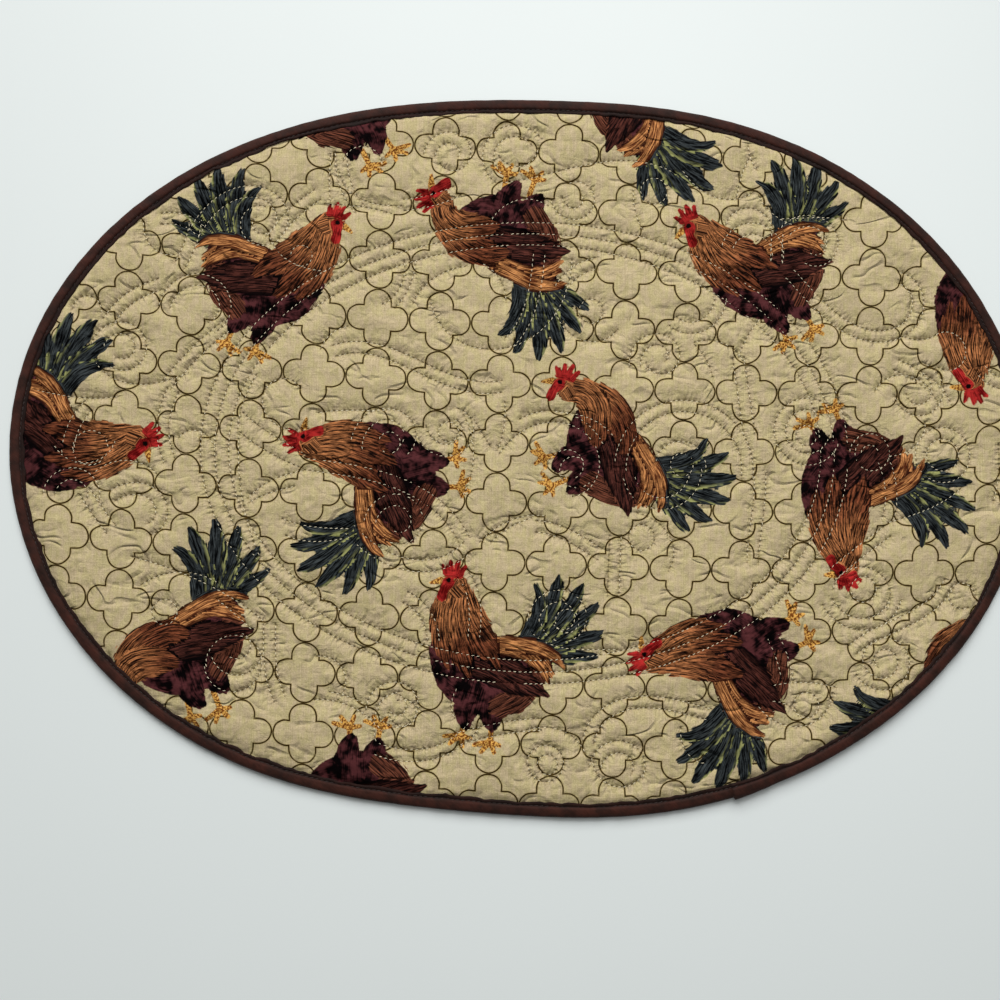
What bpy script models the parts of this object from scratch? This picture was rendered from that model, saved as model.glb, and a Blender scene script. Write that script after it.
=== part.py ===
"""Oval quilted placemat: a stitched, padded panel whose edge sits in a folded cloth binding.

Lengths in the tables are millimetres and turns are degrees, counted from +X towards +Y.
The mat lies on z = 0 with its long axis along X, and is centred over the origin.
"""
import bpy
import bmesh
from math import atan2, cos, exp, hypot, pi, radians, sin
from mathutils import Vector, geometry, kdtree

MM = 0.001

# --- outline of the mat -------------------------------------------------------------------
HALF_LENGTH = 229.6
HALF_WIDTH = 164.7
ROUNDNESS = 1.99              # 2 is a plain ellipse, more is squarer
# Slow unevenness of the cut edge: waves round the mat, rise, turn of the first crest.
EDGE_WAVES = (
    (2, 1.4, -1),
    (3, 1.1, 51),
    (4, 2.45, 43),
    (5, 0.42, 4),
    (6, 0.37, -15),
)
# Places where the edge stands a little off the table: turn, rise, half spread of the turn.
EDGE_LIFTS = (
    (205, 0.9, 20),
    (322, 1.1, 17),
    (72, 0.7, 19),
    (150, 0.5, 15),
)
LIFT_DEPTH = 38               # how far in from the edge a lift dies away

# --- quilting: rows of stitching seen from above --------------------------------------------
LINE_GAP = 5.2                # between the parallel lines of one scroll
TIGHTEST = 3.0                # smallest radius at which a parallel line is still sewn
RING_CENTRE = (0.2, 0.6)
RING_HALF_LENGTH = 138.8
RING_HALF_WIDTH = 98.5
RING_SPREAD = 0.00016         # how much wider the ring is for each millimetre to the right
RING_END_GAP = 6.2            # between its lines where they cross the long axis
RING_SIDE_GAP = 5.1           # and where they cross the short one
RING_LINES = 3
# Each scroll: start x, start y, heading, length, bend at its start and at its end in
# degrees per centimetre (left is positive), number of parallel lines (less than 0: they lie
# on the outer side of the bend).
SCROLLS = (
    (-153, 97, 62, 112, -6, -74, 2),
    (-118, 95.5, 58, 30, -8, -8, 2),
    (-165, 63, 80, 62, -30, -45, 2),
    (-194, 45, 78, 58, -42, -60, 2),
    (-205.5, -4, 92, 26, -18, -18, 2),
    (-221, 25, -12, 40, 0, 12, 1),
    (-86, 125.5, -82, 35, 45, 0, 1),
    (-56, 108.5, 8, 26, 6, 8, 2),
    (-92, 110.5, 2, 30, -4, -10, 1),
    (-90, 133, -93, 21, 0, 12, 1),
    (-88, 135, -88, 30, 5, 25, 2),
    (-84, 131, 80, 28, -70, -60, 1),
    (-48, 135, 80, 52, -42, -80, 2),
    (-15.5, 122.5, 142, 50, -38, -40, 2),
    (-13.5, 134, -55, 24, 60, 60, 1),
    (-16, 122, 4, 84, 8, -16, 1),
    (90, 105, 75, 28, -55, -50, 1),
    (115, 104, 50, 58, -30, -62, 2),
    (105, 118.5, -62, 22, 22, 22, 1),
    (115, 108.4, 0, 30, 8, -18, 1),
    (10, 115, -80, 46, 50, 75, 2),
    (-17, 105, 60, 30, -25, -40, 1),
    (88, 95, 75, 46, -38, -42, 2),
    (95, 118, 80, 20, 0, -30, 1),
    (104, 131, 125, 12, -30, -20, 1),
    (63, 120, 90, 38, 95, 95, 1),
    (117, 81.5, -46, 104, -4, 46, 2),
    (172, 54.5, -20, 16, 34, 34, 1),
    (186, 56, 32, 38, -62, -68, 1),
    (169, 44, -25, 32, 0, -30, 2),
    (158, 30, 62, 30, -45, -30, 1),
    (167, 27.5, -80, 50, 55, 42, 2),
    (146, 1.5, 85, 58, -58, -80, 2),
    (157.5, -60, 90, 36, 100, 100, 1),
    (138, -60, 75, 44, -42, -46, 1),
    (133, -67, -62, 46, 26, 34, 2),
    (145, -85, 42, 54, -16, 25, -2),
    (148, -98, -58, 72, 40, 62, 2),
    (110.5, -103, 12, 28, -8, -12, 1),
    (131, -111.5, 90, 34, 104, 104, 1),
    (110, -110, 5, 14, -50, -40, 1),
    (104, -112, -55, 44, 25, 40, 1),
    (201, 1, 90, 78, 46, 46, 2),
    (1.5, -138, 90, 50, -70, -75, 1),
    (6, -138.5, 90, 26, -125, -140, 1),
    (-1, -124, 22, 32, -20, -34, 1),
    (29, -139, 80, 42, -40, -55, 2),
    (30.5, -137, -82, 32, 44, 52, 1),
    (26, -128, 84, 68, -32, 4, 2),
    (69.5, -122, -95, 22, 30, 60, 1),
    (-66, -134, -22, 52, 12, 18, 2),
    (-30, -125, 18, 38, -4, -4, 2),
    (-140.5, -96, -85, 80, 45, 48, 1),
    (-137.5, -92, -72, 30, 46, 56, 1),
    (-130, -92, -35, 20, 90, 110, 1),
    (-153, -73, 90, 34, 105, 105, 1),
    (-168.5, -61, 36, 36, -20, -19, 1),
    (-213, -21.5, 85, 40, -45, -48, 2),
    (-191, -12, 45, 30, -30, -30, 1),
    (-184, -20, 35, 46, -25, -60, 2),
    (-197, -22, -58, 20, 4, 4, 2),
    (-173, -49, -15, 66, -2, -6, 1),
    (-136, -67, -38, 22, 0, -8, 1),
    (-209, 0, -60, 34, 35, 45, 1),
    (-185.5, -1, 90, 42, 75, 75, 1),
    (-87, 46.5, 21, 78, -22, 20, 2),
    (-44, 68, -82, 100, 24, 10, 1),
    (-93, 16, 12, 34, -12, 10, 1),
    (-78.5, -1, 95, 58, -27, -55, 2),
    (-66, 4, 80, 26, -120, -120, 1),
    (-50, 9, -76, 52, 34, 60, 2),
    (-30.5, 8.3, 90, 28, 128, 128, 1),
    (-98, -4.5, -6, 84, 0, -14, 2),
    (-72, -32.5, 82, 64, -36, -62, 2),
    (-80.5, -37, -48, 64, 8, 22, 2),
    (-108, -31.5, -22, 30, 14, 0, 1),
    (-106, -39, -22, 26, 20, 6, 1),
    (39.6, -9, 93.5, 104, -18.4, -18.2, 2),
    (107.8, -9, -88, 40, -8, 6, 2),
    (58, -4, 80, 36, -50, -50, 1),
    (75, -5, 90, 32, 112, 112, 1),
    (43.5, -11, -80, 54, 34, 30, 2),
    (-12, -1, 56, 80, -14, -42, 1),
    (29, -13, -132, 34, -62, -100, 1),
    (9.7, -5.5, 72, 36, -55, -110, 1),
    (-3, 14.5, 32, 44, -22, -22, 1),
    (12, 18, 0, 30, -8, -28, 1),
    (-52, -63.3, -23, 27, -26, -22, 2),
    (-26.5, -53, -45, 32, -30, 0, 2),
    (1, -76, 88, 72, -36, -62, 2),
    (24, -75.3, 90, 32, 110, 110, 1),
    (1.5, -79, -50, 42, 30, -8, 1),
    (5, -31, -2, 32, -20, 2, 2),
    (37.5, -37, -92, 27, 0, 0, 2),
    (57.5, -38, 90, 34, 100, 100, 1),
    (50, -27, -15, 34, -18, -48, 1),
    (12, 75, 60, 24, -18, -25, 2),
    (-21, 85, -25, 22, -30, -30, 1),
    (34, 64, 90, 34, 105, 105, 1),
    (12, 66, -80, 38, 25, 45, 1),
    (46, 39, 95, 60, -35, -80, 2),
    (64, 58, -40, 36, 40, 30, 2),
    (75.5, 50.5, 20, 28, -30, -34, 1),
    (76, 49, -45, 16, -20, -20, 1),
    (95.5, 44, 70, 22, -5, -18, 1),
    (93, 43, -82, 34, 0, 0, 2),
    (136.5, 22.3, 140, 78, 38, 38, 2),
    (131, 9, 90, 28, 125, 125, 1),
    (-98, 8.5, 192, 52, -24, -78, 1),
    (-126.5, 15.5, -42, 33, 8, 0, 1),
    (-127.4, 6.6, -40, 31, 8, 4, 1),
    (-99, -10, 190, 28, 8, 22, 1),
    (-103, -17, 193, 21, 4, 14, 1),
    (-128, 6, -92, 56, 4, 6, 1),
    (-160, 26, -115, 34, 12, 18, 2),
    (-69.5, -115, 88, 60, -42, -70, 2),
    (-59.3, -116, -90, 30, 95, 100, 1),
    (-92, -110.7, 4, 34, -18, -14, 1),
    (-85.5, -107.3, -8, 16, -14, -10, 1),
    (202, -62.5, 90, 36, 98, 98, 1),
    (204, 40, -60, 36, 30, 50, 2),
    (214, 6, -85, 26, -8, -8, 1),
    (-136.5, 56.5, 219, 38, 4, 4, 2),
    (-147, 103, -95, 24, -10, -10, 2),
    (-165, 105, 8, 22, -15, -45, 2),
    (-166, 75, 197, 30, 12, 18, 2),
    (-203, 61, 85, 20, -90, -90, 1),
    (-172.5, 103, -100, 26, 30, 60, 1),
    (-117, 98, -85, 35, 40, 5, 1),
    (-107, 87, 90, 26, -120, -120, 1),
    (-56, 85, -82, 23, -25, -38, 1),
    (-51, 86, -92, 24, -14, -22, 1),
    (-28.5, 83.5, 190, 30, 14, 26, 1),
    (7.5, 90, -95, 46, 0, -18, 2),
    (-92.5, 45, 75, 16, -45, -35, 1),
    (-154.3, 4, 60, 22, -90, -30, 1),
    (163.5, 0, -66, 31, -12, -16, 2),
    (163.5, 0, 5, 26, 20, 50, 1),
    (163, -30, 17, 38, 0, 14, 1),
    (-115, -78, -90, 34, 0, 16, 2),
    (47.5, 122, -92, 20, 10, 20, 1),
    (70, 130, -58, 38, 16, 34, 1),
    (111, 102, -93, 15, 0, 2, 2),
    (112.5, -79, -62, 24, -6, -14, 2),
    (-29.5, -105, -125, 14, 40, 50, 1),
    (-192.5, 38, -62, 46, 34, 2, 1),
    (-121, 32.5, -120, 26, 8, 14, 1),
    (-28, 15.5, -62, 38, -16, -14, 1),
    (-10, 22, -85, 22, -10, -16, 1),
    (-16.5, 2.3, 122, 13, 0, 0, 1),
    (-20, -40.5, 48, 32, -14, -20, 1),
    (-15, -40.5, 48, 21, -18, -12, 1),
    (-91.5, -91.8, 8, 28, -50, -52, 1),
    (-64.5, -113, -105, 17, 12, 30, 1),
    (-64.2, -113.5, 62, 12, -45, -45, 1),
    (161, -32, 216, 32, 0, 4, 2),
)

# --- the padded panel -----------------------------------------------------------------------
STITCHED_HEIGHT = 1.7         # top of the cloth at a line of stitches
PUFF_RISE = 2.1               # how much higher the widest puffs stand
PUFF_REACH = 5.0              # distance from a line over which a puff rises
LINE_STEP = 6.4               # spacing of the panel's points along a line
FILL_STEP = 8.6               # spacing of its points between the lines
SEAM_CLEAR = 12.0             # stitched points keep this far in from the edge
EDGE_UNDER = 0.94             # underside of the panel inside the binding
EDGE_OVER = 1.96              # top of the panel inside the binding
EDGE_INSET = 2.2              # the panel's own edge, in from the binding's outside
SLOT_INSET = 6.9              # where the panel comes out of the binding
SHOULDER_INSET = 10.4
FOOT_INSET = 14.0             # where the underside comes down to the table
# How close two of the panel's points may come: on a line, on a crest, in the filling.
LINE_ROOM = 2.6
CREST_ROOM = 2.4
FILL_ROOM = 5.0

# --- the folded binding ---------------------------------------------------------------------
STATION_STEP = 9.0            # spacing of the sections round the edge
# One section, from the lower lip round the outside to the upper lip and back inside:
# inset from the outer edge, height, and how far the lapped end pushes it out and up.
BINDING_SECTION = (
    (6.4, 0.0, 0.0, 0.0),
    (1.6, 0.0, 0.2, 0.0),
    (0.5, 0.35, 0.8, 0.0),
    (0.0, 1.1, 1.0, 0.0),
    (0.2, 2.1, 1.0, 0.4),
    (0.9, 2.75, 0.7, 0.9),
    (2.2, 3.0, 0.2, 1.0),
    (4.6, 3.05, 0.0, 1.0),
    (6.2, 2.85, 0.0, 0.9),
    (6.5, 2.6, 0.0, 0.5),
    (6.3, 2.3, 0.0, 0.0),
    (1.9, 2.3, 0.0, 0.0),
    (1.25, 1.5, 0.0, 0.0),
    (1.9, 0.6, 0.0, 0.0),
    (6.4, 0.6, 0.0, 0.0),
)
LAP_TURN = 301.2              # where the folded end of the strip lies over its beginning
LAP_RISE = 0.6
LAP_LENGTH = 24.0             # the lap tapers away over this length
LAP_EDGE = 0.6                # width of the step at the fold

RIM_SAMPLES = 1440


def raw_rim(turn):
    """Outer edge before it is centred; turn in radians."""
    along = (abs(cos(turn)) / HALF_LENGTH) ** ROUNDNESS
    across = (abs(sin(turn)) / HALF_WIDTH) ** ROUNDNESS
    reach = (along + across) ** (-1 / ROUNDNESS)
    for waves, rise, crest in EDGE_WAVES:
        reach += rise * cos(waves * (turn - radians(crest)))
    return Vector((reach * cos(turn), reach * sin(turn)))


RAW = [raw_rim(2 * pi * i / RIM_SAMPLES) for i in range(RIM_SAMPLES)]
MIDDLE = Vector((
    (min(p.x for p in RAW) + max(p.x for p in RAW)) / 2,
    (min(p.y for p in RAW) + max(p.y for p in RAW)) / 2,
))


def rim(turn):
    return raw_rim(turn) - MIDDLE


def inset_point(turn, inset):
    """The point a given distance inside the outer edge, square to it."""
    step = pi / RIM_SAMPLES
    along = (rim(turn + step) - rim(turn - step)).normalized()
    return rim(turn) + inset * Vector((-along.y, along.x))


def point_tree(points):
    tree = kdtree.KDTree(len(points))
    for i, point in enumerate(points):
        tree.insert((point[0], point[1], 0), i)
    tree.balance()
    return tree


RIM_TREE = point_tree([p - MIDDLE for p in RAW])


def nearest(tree, x, y):
    return tree.find((x, y, 0))[2]


def lift(x, y):
    """Height by which the mat stands off the table near its edge."""
    inward = nearest(RIM_TREE, x, y) / LIFT_DEPTH
    if inward >= 1:
        return 0
    fade = (1 - inward) ** 2 * (1 + 2 * inward)
    turn = atan2(y, x)
    total = 0
    for place, rise, spread in EDGE_LIFTS:
        away = (turn - radians(place) + pi) % (2 * pi) - pi
        total += rise * exp(-(away / radians(spread)) ** 2)
    return total * fade


def scroll_lines(row):
    """The parallel lines of one scroll, each a list of points a millimetre apart."""
    x, y, heading, length, first, last, count = row
    side = 1 if (first + last) * count >= 0 else -1
    lines = [[] for _ in range(abs(count))]
    turn = radians(heading)
    for i in range(length + 1):
        bend = radians(first + (last - first) * i / length) / 10
        for k, line in enumerate(lines):
            away = k * LINE_GAP
            if k == 0 or side * bend * (away + TIGHTEST) < 1:
                out = turn + side * pi / 2
                line.append((x + away * cos(out), y + away * sin(out)))
        turn += bend / 2
        x += cos(turn)
        y += sin(turn)
        turn += bend / 2
    return lines


def ring_lines():
    """The closed lines that frame the middle of the mat."""
    steps = 760
    lines = []
    for k in range(RING_LINES):
        place = k - (RING_LINES - 1) / 2
        line = []
        for i in range(steps):
            turn = 2 * pi * i / steps
            out = Vector((cos(turn) / RING_HALF_LENGTH, sin(turn) / RING_HALF_WIDTH)).normalized()
            away = place * (RING_SIDE_GAP + (RING_END_GAP - RING_SIDE_GAP) * abs(cos(turn)))
            x = RING_HALF_LENGTH * cos(turn)
            y = RING_HALF_WIDTH * sin(turn) * (1 + RING_SPREAD * x)
            line.append((RING_CENTRE[0] + x + away * out.x, RING_CENTRE[1] + y + away * out.y))
        lines.append(line)
    return lines


LINE_GROUPS = [ring_lines()] + [scroll_lines(row) for row in SCROLLS]
STITCH_TREE = point_tree([p for group in LINE_GROUPS for line in group for p in line])


def panel_top(x, y):
    """Height of the padded cloth between the binding and the lines of stitches."""
    from_line = nearest(STITCH_TREE, x, y)
    from_slot = max(nearest(RIM_TREE, x, y) - SLOT_INSET, 0)
    low = EDGE_OVER if from_slot < from_line else STITCHED_HEIGHT
    open_way = min(from_line, from_slot)
    return low + PUFF_RISE * (1 - exp(-open_way / PUFF_REACH))


def add_spaced(kept, points, room, cells):
    """Keep the points that come no nearer than room to any point kept before."""
    size = FILL_ROOM
    for x, y in points:
        column = int(x // size)
        row = int(y // size)
        near = False
        for i in (column - 1, column, column + 1):
            for j in (row - 1, row, row + 1):
                for other in cells.get((i, j), ()):
                    if hypot(other[0] - x, other[1] - y) < room:
                        near = True
        if not near:
            cells.setdefault((column, row), []).append((x, y))
            kept.append((x, y))


def walk(line, step):
    """Points of a line, about step apart, with both of its ends."""
    count = max(int(round(len(line) / step)), 1)
    return [line[min(int(i * len(line) / count), len(line) - 1)] for i in range(count + 1)]


def inside(points, inset):
    """The points that lie further than inset inside the outer edge."""
    return [p for p in points
            if hypot(*p) < rim(atan2(p[1], p[0])).length and nearest(RIM_TREE, *p) > inset]


def panel_points(border):
    """Points for the top of the panel: its border, the lines, the crests, the filling."""
    kept = []
    cells = {}
    add_spaced(kept, border, 0, cells)
    for group in LINE_GROUPS:
        for line in group:
            add_spaced(kept, inside(walk(line, LINE_STEP), SEAM_CLEAR), LINE_ROOM, cells)
    for group in LINE_GROUPS:
        for one, other in zip(group, group[1:]):
            crest = [((a[0] + b[0]) / 2, (a[1] + b[1]) / 2) for a, b in zip(one, other)]
            half = int(LINE_STEP / 2)
            add_spaced(kept, inside(walk(crest[half:-half], LINE_STEP), SEAM_CLEAR), CREST_ROOM, cells)
    fill = []
    rows = int(HALF_WIDTH / FILL_STEP) + 1
    columns = int(HALF_LENGTH / FILL_STEP) + 1
    for j in range(-rows, rows + 1):
        for i in range(-columns, columns + 1):
            fill.append(((i + j % 2 / 2) * FILL_STEP, j * FILL_STEP))
    add_spaced(kept, inside(fill, SHOULDER_INSET + FILL_ROOM / 2), FILL_ROOM, cells)
    return kept


def skin(bm, one, other):
    """Close the band between two rings of vertices with faces."""
    count = len(one)
    for i in range(count):
        j = (i + 1) % count
        bm.faces.new((one[i], one[j], other[j], other[i]))


def ring_of(bm, turns, inset, height):
    verts = []
    for turn in turns:
        x, y = inset_point(turn, inset)
        verts.append(bm.verts.new((x * MM, y * MM, (height + lift(x, y)) * MM)))
    return verts


def finish(bm, name, material, collection):
    bmesh.ops.recalc_face_normals(bm, faces=bm.faces)
    mesh = bpy.data.meshes.new(name)
    bm.to_mesh(mesh)
    bm.free()
    mesh.materials.append(material)
    obj = bpy.data.objects.new(name, mesh)
    collection.objects.link(obj)
    return obj


def build_panel(turns, material, collection):
    slot_edge = [tuple(inset_point(turn, SLOT_INSET)) for turn in turns]
    shoulder = [tuple(inset_point(turn, SHOULDER_INSET)) for turn in turns]
    points = panel_points(slot_edge + shoulder)
    border = list(range(len(turns)))
    cut = geometry.delaunay_2d_cdt([Vector(p) for p in points], [], [border], 1, 0.001)
    flat, faces, origins = cut[0], cut[2], cut[3]
    bm = bmesh.new()
    top = []
    for x, y in flat:
        top.append(bm.verts.new((x * MM, y * MM, (panel_top(x, y) + lift(x, y)) * MM)))
    for face in faces:
        bm.faces.new([top[i] for i in face])
    place = {}
    for i, sources in enumerate(origins):
        for source in sources:
            place[source] = top[i]
    rings = [
        [place[i] for i in border],
        ring_of(bm, turns, EDGE_INSET, EDGE_OVER),
        ring_of(bm, turns, EDGE_INSET, EDGE_UNDER),
        ring_of(bm, turns, (SLOT_INSET + FOOT_INSET) / 2 - 1, EDGE_UNDER),
        ring_of(bm, turns, FOOT_INSET, 0),
        ring_of(bm, turns, LIFT_DEPTH, 0),
    ]
    for one, other in zip(rings, rings[1:]):
        skin(bm, one, other)
    bm.faces.new(rings[-1])
    return finish(bm, "quilted_panel", material, collection)


def lap_growth(past):
    """How much the lapped end adds, a distance past its fold."""
    if past < 0 or past > LAP_LENGTH:
        return 0
    part = past / LAP_LENGTH
    return LAP_RISE * (1 - part * part * (3 - 2 * part))


def build_binding(turns, material, collection):
    fold = radians(LAP_TURN)
    reach = rim(fold).length
    half_step = LAP_EDGE / 2 / reach
    clear = STATION_STEP / 2 / reach
    places = [turn for turn in turns if abs(turn - fold) > clear]
    places = sorted(places + [fold - half_step, fold + half_step])
    bm = bmesh.new()
    sections = []
    for turn in places:
        grow = lap_growth((turn - fold) * reach)
        section = []
        for inset, height, out, up in BINDING_SECTION:
            x, y = inset_point(turn, inset - out * grow)
            z = height + up * grow + lift(x, y)
            section.append(bm.verts.new((x * MM, y * MM, z * MM)))
        sections.append(section)
    for one, other in zip(sections, sections[1:] + sections[:1]):
        skin(bm, one, other)
    return finish(bm, "binding", material, collection)


def stations():
    """Turns of the sections, evenly spaced along the edge."""
    lengths = [0]
    for i in range(RIM_SAMPLES):
        lengths.append(lengths[-1] + (RAW[(i + 1) % RIM_SAMPLES] - RAW[i]).length)
    count = int(lengths[-1] / STATION_STEP)
    turns = []
    i = 0
    for k in range(count):
        wanted = lengths[-1] * k / count
        while lengths[i + 1] < wanted:
            i += 1
        part = (wanted - lengths[i]) / (lengths[i + 1] - lengths[i])
        turns.append(2 * pi * (i + part) / RIM_SAMPLES)
    return turns


def cloth_material(name, color, roughness):
    material = bpy.data.materials.new(name)
    material.use_nodes = True
    shader = material.node_tree.nodes["Principled BSDF"]
    shader.inputs["Base Color"].default_value = (*color, 1)
    shader.inputs["Roughness"].default_value = roughness
    return material


def main():
    for obj in list(bpy.data.objects):
        bpy.data.objects.remove(obj)
    collection = bpy.data.collections.new("fabric_placemat")
    bpy.context.scene.collection.children.link(collection)
    panel_cloth = cloth_material("quilted_cotton", (0.42, 0.36, 0.2), 0.85)
    binding_cloth = cloth_material("binding_cotton", (0.045, 0.018, 0.014), 0.6)
    turns = stations()
    build_panel(turns, panel_cloth, collection)
    build_binding(turns, binding_cloth, collection)


main()
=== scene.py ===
"""Looks of the oval quilted placemat: printed cloth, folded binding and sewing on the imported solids.

Lengths in the tables are millimetres and turns are degrees, counted from +X towards +Y.
"""
from math import atan2, cos, exp, pi, radians, sin, sqrt

import bmesh
import bpy
import numpy as np
from mathutils import Euler, Matrix, Vector, kdtree, noise


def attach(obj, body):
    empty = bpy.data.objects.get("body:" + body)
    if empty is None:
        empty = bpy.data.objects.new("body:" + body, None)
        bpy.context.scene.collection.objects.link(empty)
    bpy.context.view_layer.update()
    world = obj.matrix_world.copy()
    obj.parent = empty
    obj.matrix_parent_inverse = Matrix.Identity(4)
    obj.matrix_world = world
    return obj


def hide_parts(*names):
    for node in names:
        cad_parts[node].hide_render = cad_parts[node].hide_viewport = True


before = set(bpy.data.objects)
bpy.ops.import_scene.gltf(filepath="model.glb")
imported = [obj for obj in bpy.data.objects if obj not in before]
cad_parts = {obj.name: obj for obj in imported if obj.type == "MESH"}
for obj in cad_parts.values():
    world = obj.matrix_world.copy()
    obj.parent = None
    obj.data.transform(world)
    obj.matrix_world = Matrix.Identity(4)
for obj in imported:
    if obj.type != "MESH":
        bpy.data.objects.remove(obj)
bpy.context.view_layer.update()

MM = 0.001

# --- camera, as the photograph was taken: a hand-held look almost straight down --------------
CAMERA_PLACE = (-0.02369, -0.04704, 0.44696)
CAMERA_TURN = (3.219, -1.583, 0.634)
CAMERA_LENS = 36.0
CAMERA_SENSOR = 36.0

# --- outline of the mat, as on the solids ----------------------------------------------------
HALF_LENGTH = 229.6
HALF_WIDTH = 164.7
ROUNDNESS = 1.99              # 2 is a plain ellipse, more is squarer
# Slow unevenness of the cut edge: waves round the mat, rise, turn of the first crest.
EDGE_WAVES = (
    (2, 1.4, -1),
    (3, 1.1, 51),
    (4, 2.45, 43),
    (5, 0.42, 4),
    (6, 0.37, -15),
)
# Places where the edge stands a little off the table: turn, rise, half spread of the turn.
EDGE_LIFTS = (
    (205, 0.9, 20),
    (322, 1.1, 17),
    (72, 0.7, 19),
    (150, 0.5, 15),
)
LIFT_DEPTH = 38               # how far in from the edge a lift dies away

# --- quilting: rows of stitching seen from above ---------------------------------------------
LINE_GAP = 5.2                # between the parallel lines of one scroll
TIGHTEST = 3.0                # smallest radius at which a parallel line is still sewn
RING_CENTRE = (0.2, 0.6)
RING_HALF_LENGTH = 138.8
RING_HALF_WIDTH = 98.5
RING_SPREAD = 0.00016         # how much wider the ring is for each millimetre to the right
RING_END_GAP = 6.2            # between its lines where they cross the long axis
RING_SIDE_GAP = 5.1           # and where they cross the short one
RING_LINES = 3
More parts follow.
